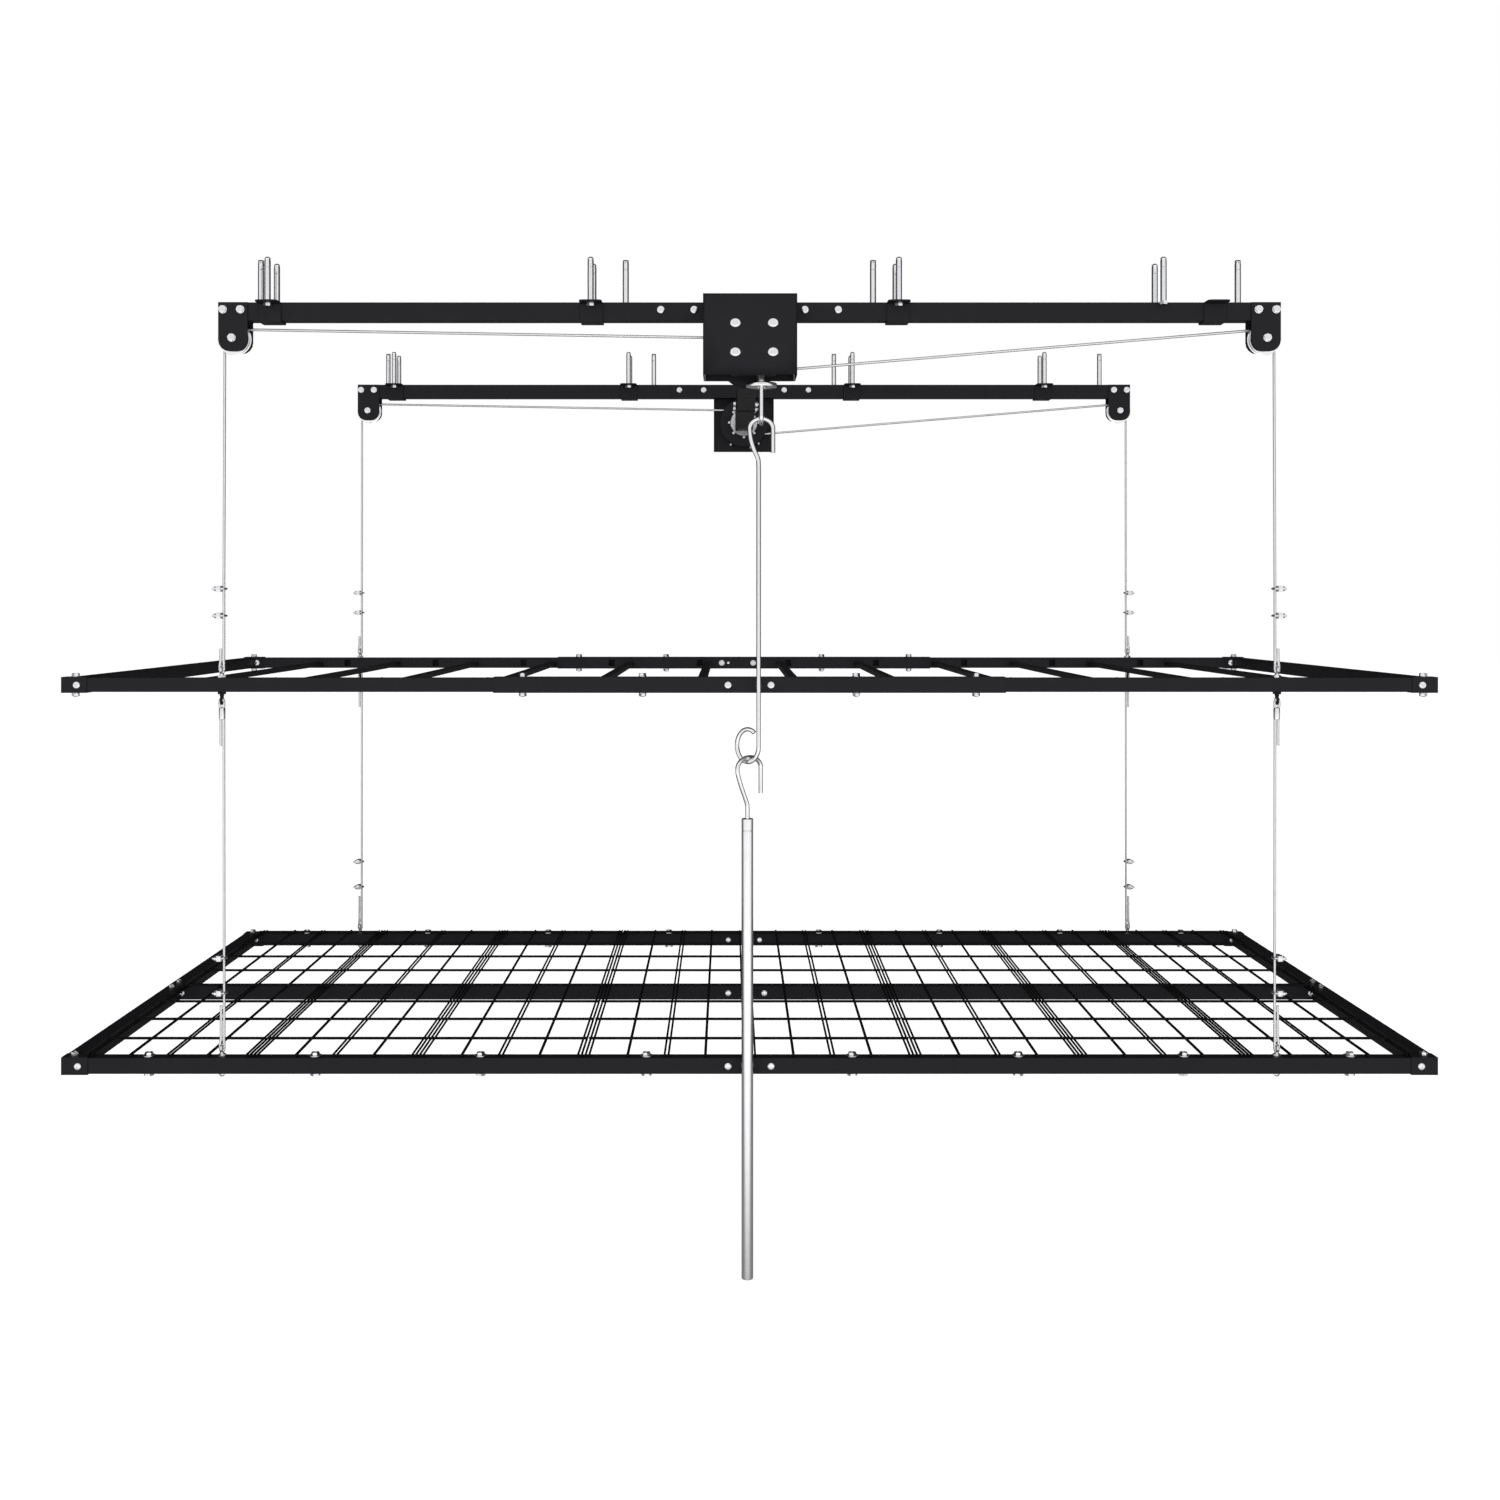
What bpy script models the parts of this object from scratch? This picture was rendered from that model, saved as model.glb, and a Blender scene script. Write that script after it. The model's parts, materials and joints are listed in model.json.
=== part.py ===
"""Ceiling mounted pulley rack: two ceiling rails, a worm winch and two hanging storage tiers.

X runs along the rails, Y from the front rail to the rear one, Z up. The origin lies on the
ceiling, midway between the rails. All sizes below are in millimetres.
"""

import math

import bmesh
import bpy
from mathutils import Matrix, Vector

MM = 0.001
GAP = 0.3

# Rails on the ceiling
RAIL_Y = 594.5
RAIL = 32.0
RAIL_WALL = 2.0
RAIL_END = 940.0
SPIGOT_LENGTH = 165.0
RAIL_ANCHOR_X = (220.0, 869.0)

# Anchors and the saddles that clamp each rail to the ceiling
ANCHOR_RADIUS = 5.25
ANCHOR_TOP = 77.0
ANCHOR_OFFSET = 32.5
SADDLE_X = (-849.0, -280.0, 263.0, 729.0)
SLID_SADDLE_X = 824.0
SADDLE_WIDTH = 40.0
SADDLE_PLATE = 3.0
FLANGE_LENGTH = 33.0
STRAP_PLATE = 1.5
STRAP_HALF = 6.0

# Pulleys and their brackets
BRACKET_WIDTH = 52.0
BRACKET_DROP = 87.0
BRACKET_PLATE = 3.0
BRACKET_CORNER = 20.0
PULLEY_X = 916.0
PULLEY_Z = -63.0
PULLEY_RADIUS = 28.5
GROOVE_RADIUS = 14.5
AXLE_RADIUS = 4.0

# Wire rope
ROPE_RADIUS = 2.5
ROPE_SIDES = 6

# Winch and drive shaft
DRIVE_Z = -92.0
DRUM_FLANGE = 58.0
DRUM_CORE = 27.0
DRUM_HALF = 14.5
FRONT_TUBE = 38.0
REAR_TUBE = 42.0
TUBE_JOINT_Y = 142.0
TUBE_LAP_END = 300.0
STUB_RADIUS = 8.0
WORM_Y = -659.5
WORM_X = 20.0
WORM_PITCH = 3.8
WORM_ROOT = 5.2
WORM_TIP = 7.5
WHEEL_TEETH = 18
WHEEL_ROOT = 9.6
WHEEL_TIP = WORM_X - WORM_TIP - GAP
COVER_HALF = 81.0
COVER_FRONT = -708.5
COVER_DROP = 140.0
COVER_SHEET = 2.0
COVER_BOLT_X = (-25.4, 39.4)
COVER_BOLT_Z = (-51.6, -101.6)
COVER_BOLT_RADIUS = 10.0
COVER_BOLT_HEIGHT = 4.8

# Crank pole
ROD_RADIUS = 4.0
ROD_SIDES = 8
EYE_BOTTOM_Z = -219.3
HOOK_TOP_Z = EYE_BOTTOM_Z + 2 * ROD_RADIUS + GAP
ROD_X = 15.3
RING_TURN = math.radians(-25)
RING_X = -3.4
RING_HALF_WIDTH = 20.8
RING_HALF_HEIGHT = 28.6
RING_Z = -781.8
HANDLE_HOOK_TURN = math.radians(40)
HANDLE_X = -4.2
HANDLE_RADIUS = 10.3
HANDLE_TOP_Z = -908.5
HANDLE_LENGTH = 803.5

# Both tiers
TIER_HALF_LENGTH = 1219.0
TIER_HALF_DEPTH = 609.5
HANGER_X = 938.0
HANGER_BOLT_RADIUS = 4.0

# Upper tier: a telescoping ladder of two beams and twelve slats
UPPER_TOP = -665.0
UPPER_BEAM = 25.0
UPPER_SLEEVE = 28.2
UPPER_SLEEVE_LENGTH = 45.0
CENTRE_SLEEVE_HALF = 454.0
CENTRE_LAP = 70.0
FIRST_SLAT_X = 88.0
SLAT_STEP = 189.4
SLAT_WIDTH = 17.0
SLAT_TOP = -675.2
SLAT_HEIGHT = 9.8
SLAT_PLATE = 1.5
TAB_PLATE = 2.5
TAB_TOP = -664.5
BEAM_WINDOW = 14.5
CENTRE_WINDOW_X = (107.4, 322.2)
OUTER_WINDOW_X = (537.0, 751.8, 966.6)

# Lower tier: three beams under wire mesh
LOWER_TOP = -1338.5
LOWER_BEAM = 28.0
LOWER_SLEEVE = 31.2
LOWER_SLEEVE_LENGTH = 47.0
BEAM_WALL = 1.5
PANEL_PITCH = 294.3
PANELS_EACH_SIDE = 4
WIRE = 4.5
MESH_HALF_DEPTH = 590.0
CROSS_WIRE_STEP = 154.5
SINGLE_WIRE_OFFSET = 69.0
PAIR_HALF_SPREAD = 5.75
SEAM_HALF_SPREAD = 12.25


# ---------------------------------------------------------------- mesh helpers


def clear_scene():
    for obj in list(bpy.data.objects):
        bpy.data.objects.remove(obj, do_unlink=True)


def make_material(name, colour, roughness, metallic):
    material = bpy.data.materials.new(name)
    material.use_nodes = True
    shader = material.node_tree.nodes["Principled BSDF"]
    shader.inputs["Base Color"].default_value = (*colour, 1.0)
    shader.inputs["Roughness"].default_value = roughness
    shader.inputs["Metallic"].default_value = metallic
    return material


def place(axis, along, u, v):
    """A point at `along` on the axis; u and v are the other two coordinates in X, Y, Z order."""
    if axis == "X":
        return Vector((along, u, v))
    if axis == "Y":
        return Vector((u, along, v))
    return Vector((u, v, along))


def finish_bmesh(bm):
    bmesh.ops.recalc_face_normals(bm, faces=bm.faces)
    return bm


def box(low, high):
    bm = bmesh.new()
    bmesh.ops.create_cube(bm, size=1.0)
    for vert in bm.verts:
        for i in range(3):
            vert.co[i] = high[i] if vert.co[i] > 0 else low[i]
    return finish_bmesh(bm)


def prism(outline, axis, start, end):
    """The closed outline, in the axis's other two coordinates, extruded from start to end."""
    bm = bmesh.new()
    face = bm.faces.new([bm.verts.new(place(axis, start, u, v)) for u, v in outline])
    moved = bmesh.ops.extrude_face_region(bm, geom=[face])["geom"]
    shift = place(axis, end - start, 0, 0)
    bmesh.ops.translate(bm, verts=[v for v in moved if isinstance(v, bmesh.types.BMVert)], vec=shift)
    return finish_bmesh(bm)


def circle(centre, radius, count, turn=0.0):
    steps = [turn + 2 * math.pi * i / count for i in range(count)]
    return [(centre[0] + radius * math.cos(a), centre[1] + radius * math.sin(a)) for a in steps]


def ring_prism(outer, inner, axis, start, end):
    """A flat link between two outlines that have the same number of points."""
    bm = bmesh.new()
    loops = []
    for outline, along in ((outer, start), (outer, end), (inner, end), (inner, start)):
        loops.append([bm.verts.new(place(axis, along, u, v)) for u, v in outline])
    count = len(outer)
    for first, second in zip(loops, loops[1:] + loops[:1]):
        for i in range(count):
            j = (i + 1) % count
            bm.faces.new((first[i], first[j], second[j], second[i]))
    return finish_bmesh(bm)


def square(centre, size):
    half = size / 2
    corners = ((-half, -half), (half, -half), (half, half), (-half, half))
    return [(centre[0] + u, centre[1] + v) for u, v in corners]


def square_tube(axis, centre, size, wall, start, end):
    return ring_prism(square(centre, size), square(centre, size - 2 * wall), axis, start, end)


def cylinder(axis, centre, radius, start, end, count=12):
    return prism(circle(centre, radius, count), axis, start, end)


def lathe(profile, axis, centre, count):
    """The profile of (radius, along) points turned about the axis. A zero radius makes a pole."""
    bm = bmesh.new()
    rings = []
    for radius, along in profile:
        if radius == 0:
            rings.append([bm.verts.new(place(axis, along, *centre))])
        else:
            rings.append([bm.verts.new(place(axis, along, u, v)) for u, v in circle(centre, radius, count)])
    closed = len(rings[0]) > 1
    pairs = list(zip(rings, rings[1:])) + ([(rings[-1], rings[0])] if closed else [])
    for first, second in pairs:
        for i in range(count):
            j = (i + 1) % count
            corners = [first[i % len(first)], first[j % len(first)]]
            corners += [second[j % len(second)], second[i % len(second)]]
            bm.faces.new(list(dict.fromkeys(corners)))
    return finish_bmesh(bm)


def sweep(points, radius, sides):
    """A round bar along the points, capped at both ends."""
    bm = bmesh.new()
    points = [Vector(point) for point in points]
    side = None
    rings = []
    for i, point in enumerate(points):
        before = points[max(i - 1, 0)]
        after = points[min(i + 1, len(points) - 1)]
        forward = (after - before).normalized()
        if side is None:
            side = forward.orthogonal().normalized()
        side = (side - forward * side.dot(forward)).normalized()
        other = forward.cross(side)
        ring = circle((0, 0), radius, sides)
        rings.append([bm.verts.new(point + side * u + other * v) for u, v in ring])
    for first, second in zip(rings, rings[1:]):
        for i in range(sides):
            j = (i + 1) % sides
            bm.faces.new((first[i], first[j], second[j], second[i]))
    bm.faces.new(rings[0])
    bm.faces.new(rings[-1])
    return finish_bmesh(bm)


def add_object(name, bm, material, smooth=False):
    bmesh.ops.scale(bm, vec=(MM, MM, MM), verts=bm.verts)
    mesh = bpy.data.meshes.new(name)
    bm.to_mesh(mesh)
    bm.free()
    if smooth:
        mesh.shade_smooth()
        mesh.set_sharp_from_angle(angle=math.radians(32))
    mesh.materials.append(material)
    obj = bpy.data.objects.new(name, mesh)
    bpy.context.collection.objects.link(obj)
    return obj


def solid(name, material, pieces, cuts=(), smooth=False, origin=None):
    """One named closed body: the pieces joined together, then the cuts taken out of it."""
    obj = add_object(name, pieces[0], material, smooth)
    operations = [(piece, "UNION") for piece in pieces[1:]] + [(cut, "DIFFERENCE") for cut in cuts]
    for i, (piece, operation) in enumerate(operations):
        helper = add_object(f"{name}.{operation.lower()}.{i}", piece, material)
        helper.hide_render = True
        helper.display_type = "WIRE"
        modifier = obj.modifiers.new(helper.name, "BOOLEAN")
        modifier.operation = operation
        modifier.solver = "EXACT"
        modifier.object = helper
    if origin is not None:
        offset = Vector(origin) * MM
        obj.data.transform(Matrix.Translation(-offset))
        obj.location = offset
    return obj


# ---------------------------------------------------------------- ceiling frame


def anchor(x, y):
    """A sleeve anchor with its nut, standing up into the ceiling."""
    profile = [(0, -9.5), (7.2, -9.5), (7.2, -2.5)]
    profile += [(ANCHOR_RADIUS, -2.5), (ANCHOR_RADIUS, ANCHOR_TOP - 3), (3.2, ANCHOR_TOP), (0, ANCHOR_TOP)]
    return lathe(profile, "Z", (x, y), 8)


def make_rails(steel):
    for row, y in (("front", -RAIL_Y), ("rear", RAIL_Y)):
        centre = (y, -RAIL / 2)
        for side_name, side in (("left", -1), ("right", 1)):
            near, far = sorted((side * GAP / 2, side * RAIL_END))
            pieces = [square_tube("X", centre, RAIL, RAIL_WALL, near, far)]
            for x in RAIL_ANCHOR_X:
                pieces.append(cylinder("Z", (side * x, y), ANCHOR_RADIUS, -RAIL + 1, ANCHOR_TOP, 8))
            if side > 0:
                inside = RAIL - 2 * RAIL_WALL
                pieces.append(square_tube("X", centre, inside + 1, 3, 20, 45))
                pieces.append(square_tube("X", centre, inside - 2 * GAP, 2, -SPIGOT_LENGTH, SPIGOT_LENGTH))
            solid(f"{row}_rail_{side_name}", steel, pieces)


def saddle_outline(y, plate, reach):
    """A strap under the rail with a flange on each side that lies against the ceiling."""
    inner = RAIL / 2 + GAP
    outer = inner + plate
    floor = -RAIL - GAP
    half = [(reach, 0), (reach, -plate), (outer, -plate), (outer, floor - plate)]
    inside = [(-inner, floor), (inner, floor)]
    left = [(-u, v) for u, v in reversed(half)]
    points = half + left + [(-inner, 0)] + inside + [(inner, 0)]
    return [(y + u, v) for u, v in points]


def saddle_strap(x, y):
    reach = RAIL / 2 + FLANGE_LENGTH
    outline = saddle_outline(y, SADDLE_PLATE, reach)
    bm = prism(outline, "X", x - SADDLE_WIDTH / 2, x + SADDLE_WIDTH / 2)
    corners = []
    for edge in bm.edges:
        ends = [vert.co for vert in edge.verts]
        upright = abs(ends[0].z - ends[1].z) > SADDLE_PLATE / 2
        if upright and all(abs(abs(co.y - y) - reach) < 0.1 for co in ends):
            corners.append(edge)
    bmesh.ops.bevel(bm, geom=corners, offset=8, segments=2, profile=0.5, affect="EDGES")
    return finish_bmesh(bm)


def make_saddles(steel):
    for row, y in (("front", -RAIL_Y), ("rear", RAIL_Y)):
        for number, x in enumerate(SADDLE_X, start=1):
            name = f"{row}_ceiling_saddle_{number}"
            anchors = [anchor(x, y + side * ANCHOR_OFFSET) for side in (-1, 1)]
            if row == "front" and number == len(SADDLE_X):
                solid(name, steel, [saddle_strap(SLID_SADDLE_X, y)])
                outline = saddle_outline(y, STRAP_PLATE, ANCHOR_OFFSET + 7)
                strap = prism(outline, "X", x - STRAP_HALF, x + STRAP_HALF)
                solid("front_anchor_pair", steel, [strap] + anchors)
            else:
                solid(name, steel, [saddle_strap(x, y)] + anchors)


def bracket_plate(side, y_start, y_end):
    outer = RAIL_END
    inner = outer - BRACKET_WIDTH
    radius = BRACKET_CORNER
    outline = [(inner, 0), (outer, 0)]
    for centre_x, first in ((outer - radius, 0), (inner + radius, -90)):
        for step in range(5):
            angle = math.radians(first - 22.5 * step)
            z = -BRACKET_DROP + radius + radius * math.sin(angle)
            outline.append((centre_x + radius * math.cos(angle), z))
    return prism([(side * x, z) for x, z in outline], "Y", y_start, y_end)


def hexagon(centre, radius):
    return circle(centre, radius, 6, math.radians(30))


def make_pulley_station(row, y, side_name, side, steel, zinc):
    """A bracket on the rail's end with its pulley and the pulley's axle."""
    name = f"{row}_{side_name}"
    near = RAIL / 2 + GAP
    far = near + BRACKET_PLATE
    centre = (side * PULLEY_X, PULLEY_Z)
    inner_end = side * (RAIL_END - BRACKET_WIDTH)
    web_start, web_end = sorted((inner_end, inner_end + side * 6))
    pieces = [bracket_plate(side, y - far, y - near), bracket_plate(side, y + near, y + far)]
    pieces.append(box((web_start, y - far + 1, -RAIL - 4.3), (web_end, y + far - 1, -RAIL - GAP)))
    bore = cylinder("Y", centre, AXLE_RADIUS + GAP, y - far - 1, y + far + 1)
    solid(f"pulley_bracket_{name}", steel, pieces, [bore])

    head = prism(hexagon(centre, 7.5), "Y", y - far - GAP - 5.3, y - far - GAP)
    nut = prism(hexagon(centre, 7.5), "Y", y + far + GAP, y + far + GAP + 6.5)
    shank = cylinder("Y", centre, AXLE_RADIUS, y - far - GAP - 1, y + far + GAP + 9)
    solid(f"pulley_axle_{name}", zinc, [shank, head, nut])

    hub = near - 2 * GAP
    bore_radius = AXLE_RADIUS + GAP
    half = [(bore_radius, hub), (9, hub), (9, 7.5), (PULLEY_RADIUS, 7.5)]
    half += [(PULLEY_RADIUS, 5.7), (GROOVE_RADIUS, 3.1)]
    profile = [(r, y + w) for r, w in half] + [(r, y - w) for r, w in reversed(half)]
    pulley = lathe(profile, "Y", centre, 18)
    solid(f"pulley_{name}", zinc, [pulley], smooth=True, origin=(centre[0], y, centre[1]))


# ---------------------------------------------------------------- winch


def make_cover(steel):
    rear = -RAIL_Y - RAIL / 2 - GAP
    shell = box((-COVER_HALF, COVER_FRONT, -COVER_DROP), (COVER_HALF, rear, 0))
    edges = []
    for edge in shell.edges:
        ends = [vert.co for vert in edge.verts]
        front = all(abs(co.y - COVER_FRONT) < 0.1 for co in ends)
        low = all(abs(co.z + COVER_DROP) < 0.1 for co in ends)
        if front and not low:
            edges.append(edge)
    bmesh.ops.bevel(shell, geom=edges, offset=5, segments=2, profile=0.5, affect="EDGES")
    hollow = box(
        (-COVER_HALF + COVER_SHEET, COVER_FRONT + COVER_SHEET + 2, -COVER_DROP - 10),
        (COVER_HALF - COVER_SHEET, rear + 10, -COVER_SHEET),
    )
    pieces = [finish_bmesh(shell)]
    for x in COVER_BOLT_X:
        for z in COVER_BOLT_Z:
            start = COVER_FRONT - COVER_BOLT_HEIGHT
            pieces.append(cylinder("Y", (x, z), COVER_BOLT_RADIUS, start, COVER_FRONT + 1, 16))
    solid("gear_cover", steel, pieces, [hollow])


def make_housing(steel):
    """The gear frame inside the cover, welded to the plate that hangs on the front rail."""
    front, rear, top, bottom, wall = -692.0, -613.0, -40.0, -134.0, 4.0
    outer = [(front, bottom), (rear, bottom), (rear, top), (front, top)]
    inner = [(front + wall, bottom + wall), (rear - wall, bottom + wall)]
    inner += [(rear - wall, top - wall), (front + wall, top - wall)]
    frame = ring_prism(outer, inner, "X", -32, 46)
    plate_y = -RAIL_Y - RAIL / 2 - GAP
    half = COVER_HALF - COVER_SHEET - GAP
    plate = box((-half, plate_y - 3, -COVER_DROP), (half, plate_y, -4))
    shaft_bore = cylinder("Y", (0, DRIVE_Z), STUB_RADIUS + GAP, front - 5, rear + 10, 16)
    worm_bore = cylinder("Z", (WORM_X, WORM_Y), 5 + GAP, bottom - 5, top + 5, 16)
    solid("gear_housing", steel, [frame, plate], [shaft_bore, worm_bore])


def make_rear_plate(steel):
    """The plate behind the rear drum that carries the end of its shaft, with folded sides."""
    near = RAIL_Y + RAIL / 2 + GAP
    half, sheet, bottom = 73.5, 3.0, -161.0
    pieces = [box((-half, near, bottom), (half, near + sheet, -4))]
    for side in (-1, 1):
        start, end = sorted((side * half, side * (half - sheet)))
        pieces.append(box((start, near - 5, bottom), (end, near + sheet, -RAIL - 6)))
    bore = cylinder("Y", (0, DRIVE_Z), STUB_RADIUS + GAP, near - 5, near + 8, 16)
    solid("rear_drum_plate", steel, pieces, [bore])


def drum_profile(y, rear_stub):
    flange = 2.5
    half = DRUM_HALF
    profile = [(0, y - half), (DRUM_FLANGE, y - half), (DRUM_FLANGE, y - half + flange)]
    profile += [(DRUM_CORE, y - half + flange), (DRUM_CORE, y + half - flange)]
    profile += [(DRUM_FLANGE, y + half - flange), (DRUM_FLANGE, y + half)]
    if rear_stub:
        profile += [(STUB_RADIUS, y + half), (STUB_RADIUS, y + half + 16)]
    return profile + [(0, profile[-1][1])]


def make_drive(steel, zinc):
    """Both drums, the telescoping square shaft between them and the worm wheel's shaft."""
    axis = (0.0, DRIVE_Z)
    plug = 30.0
    front_face = -RAIL_Y + DRUM_HALF
    rear_face = RAIL_Y - DRUM_HALF
    front_plug = FRONT_TUBE - 2 * RAIL_WALL - 2 * GAP
    rear_wall = (REAR_TUBE - FRONT_TUBE) / 2 - GAP
    rear_plug = REAR_TUBE - 2 * rear_wall - 2 * GAP

    drum = lathe(drum_profile(-RAIL_Y, False), "Y", axis, 24)
    socket = prism(square(axis, front_plug), "Y", front_face - 1, front_face + plug)
    bore = cylinder("Y", axis, STUB_RADIUS + GAP, -RAIL_Y - DRUM_HALF - 5, front_face + 6, 16)
    solid("front_drum", steel, [drum, socket], [bore], smooth=True, origin=(0, -RAIL_Y, DRIVE_Z))

    drum = lathe(drum_profile(RAIL_Y, True), "Y", axis, 24)
    socket = prism(square(axis, rear_plug), "Y", rear_face - plug, rear_face + 1)
    solid("rear_drum", steel, [drum, socket], smooth=True, origin=(0, RAIL_Y, DRIVE_Z))

    front_tube = square_tube("Y", axis, FRONT_TUBE, RAIL_WALL, front_face + GAP, TUBE_LAP_END)
    solid("drive_tube_front", steel, [front_tube], origin=(0, 0, DRIVE_Z))
    rear_tube = square_tube("Y", axis, REAR_TUBE, rear_wall, TUBE_JOINT_Y, rear_face - GAP)
    solid("drive_tube_rear", steel, [rear_tube], origin=(0, 0, DRIVE_Z))

    shaft = cylinder("Y", axis, STUB_RADIUS, -699, front_face + 5, 16)
    solid("worm_wheel", zinc, [shaft, worm_wheel_teeth(axis)], origin=(0, WORM_Y, DRIVE_Z))


def worm_wheel_teeth(axis):
    """A toothed disc beside the worm, which it clears by one gap."""
    tooth = 2 * math.pi / WHEEL_TEETH
    outline = []
    for i in range(WHEEL_TEETH):
        middle = tooth * (i + 0.5)
        for offset, radius in ((-0.29, WHEEL_ROOT), (-0.1, WHEEL_TIP), (0.1, WHEEL_TIP), (0.29, WHEEL_ROOT)):
            angle = middle + offset * tooth
            outline.append((axis[0] + radius * math.cos(angle), axis[1] + radius * math.sin(angle)))
    return prism(outline, "Y", WORM_Y - 4, WORM_Y + 4)


def worm_thread(low, high, steps, rows):
    """A right-hand screw: a cylinder whose radius follows a trapezoid wound along it."""
    bm = bmesh.new()
    rings = []
    for row in range(rows + 1):
        z = low + (high - low) * row / rows
        ring = []
        for step in range(steps):
            angle = 2 * math.pi * step / steps
            phase = ((z - DRIVE_Z) / WORM_PITCH - angle / (2 * math.pi) + 0.5) % 1.0
            across = abs(phase - 0.5)
            rise = min(max((0.29 - across) / 0.19, 0.0), 1.0)
            radius = WORM_ROOT + (WORM_TIP - WORM_ROOT) * rise
            x, y = WORM_X - radius * math.cos(angle), WORM_Y - radius * math.sin(angle)
            ring.append(bm.verts.new((x, y, z)))
        rings.append(ring)
    for first, second in zip(rings, rings[1:]):
        for i in range(steps):
            j = (i + 1) % steps
            bm.faces.new((first[i], first[j], second[j], second[i]))
    bm.faces.new(rings[0])
    bm.faces.new(rings[-1])
    return finish_bmesh(bm)


def arc_points(centre, radius_u, radius_v, start, end, count):
    """Points of an elliptical arc, in degrees, in a plane given by its own two coordinates."""
    points = []
    for i in range(count + 1):
        angle = math.radians(start + (end - start) * i / count)
        points.append((centre[0] + radius_u * math.cos(angle), centre[1] + radius_v * math.sin(angle)))
    return points


def make_worm_shaft(zinc):
    """The upright input shaft with its worm, drip disc and the eye that the crank hooks into."""
    centre = (WORM_X, WORM_Y)
    thread = worm_thread(DRIVE_Z - 2.25 * WORM_PITCH, DRIVE_Z + 2.25 * WORM_PITCH, 12, 27)
    disc_top, disc_bottom = -149.0, -157.0
    profile = [(0, -34), (5, -34), (5, -136), (8.5, -136), (8.5, disc_top), (27.5, disc_top)]
    profile += [(27.5, disc_bottom), (0, disc_bottom)]
    spindle = lathe(profile, "Z", centre, 20)
    bend = 13.0
    legs = [(-bend, disc_bottom + 2), (-bend, EYE_BOTTOM_Z + bend)]
    legs += arc_points((0, EYE_BOTTOM_Z + bend), bend, bend, 180, 360, 8)[1:]
    legs += [(bend, disc_bottom + 2)]
    eye = sweep([(WORM_X, WORM_Y + u, v) for u, v in legs], ROD_RADIUS, ROD_SIDES)
    solid("worm_shaft", zinc, [thread, spindle, eye], smooth=True, origin=(WORM_X, WORM_Y, 0))


# ---------------------------------------------------------------- crank pole


def turned_plane(x, y, turn, points):
    """Points (u, z) of an upright plane that stands on (x, y) and is turned about Z."""
    return [(x + u * math.cos(turn), y + u * math.sin(turn), z) for u, z in points]


def ring_centre_y():
    return WORM_Y - RING_HALF_WIDTH * math.sin(RING_TURN)


def make_crank_rod(zinc):
    """The rod with a hook at its top and an oval ring at its foot."""
    half = 20.4
    side_z = HOOK_TOP_Z - 17
    hook = [(half, -270), (half, side_z)]
    hook += arc_points((0, side_z), half, 17, 0, 180, 10)[1:]
    left = [(-half, side_z - 8), (-half + 3.5, side_z - 24), (-half + 11, side_z - 42)]
    rod = ROD_X - WORM_X
    left += [(rod - 0.8, side_z - 52), (rod, side_z - 64)]
    points = [(WORM_X + u, WORM_Y, z) for u, z in hook + left]
    loop = arc_points((0, RING_Z), RING_HALF_WIDTH, RING_HALF_HEIGHT, 0, -307, 22)
    points += turned_plane(RING_X, ring_centre_y(), RING_TURN, loop)
    solid("crank_rod", zinc, [sweep(points, ROD_RADIUS, ROD_SIDES)], smooth=True,
          origin=(WORM_X, WORM_Y, EYE_BOTTOM_Z))


def make_crank_handle(zinc):
    """The lower hook and the hollow handle tube that it is fixed in."""
    ring_bottom = RING_Z - RING_HALF_HEIGHT
    top = ring_bottom + 2 * ROD_RADIUS + GAP
    hook_x = RING_X + 2.4
    half = 26.8
    height = 19.0
    side_z = top - height
    shank = (HANDLE_X - hook_x) / math.cos(HANDLE_HOOK_TURN)
    outline = [(half, -866.5), (half, side_z)]
    outline += arc_points((0, side_z), half, height, 0, 180, 12)[1:]
    outline += [(-half + 1, side_z - 10), (-half + 8, side_z - 30), (shank - 5, side_z - 52)]
    outline += [(shank - 1, side_z - 62), (shank, side_z - 72), (shank, HANDLE_TOP_Z - 40)]
    hook = sweep(turned_plane(hook_x, ring_centre_y(), HANDLE_HOOK_TURN, outline), ROD_RADIUS, ROD_SIDES)
    centre = (HANDLE_X, ring_centre_y() + shank * math.sin(HANDLE_HOOK_TURN))
    bottom = HANDLE_TOP_Z - HANDLE_LENGTH
    bore = HANDLE_RADIUS - 1.5
    profile = [(0, HANDLE_TOP_Z), (HANDLE_RADIUS, HANDLE_TOP_Z), (HANDLE_RADIUS, bottom), (bore, bottom)]
    profile += [(bore, HANDLE_TOP_Z - 45), (0, HANDLE_TOP_Z - 45)]
    tube = lathe(profile, "Z", centre, 20)
    solid("crank_handle", zinc, [tube, hook], smooth=True, origin=(RING_X, ring_centre_y(), ring_bottom))


# ---------------------------------------------------------------- wire ropes


def tangent_points(first, first_radius, second, second_radius):
    """Where a straight line touches two circles. A positive radius is touched on its upper side."""
    first, second = Vector(first), Vector(second)
    span = second - first
    lift = first_radius - second_radius
    across = Vector((-span.y, span.x))
    if across.y < 0:
        across = -across
    normal = (span * lift + across * math.sqrt(span.length_squared - lift * lift)) / span.length_squared
    return first + normal * first_radius, second + normal * second_radius, normal


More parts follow.
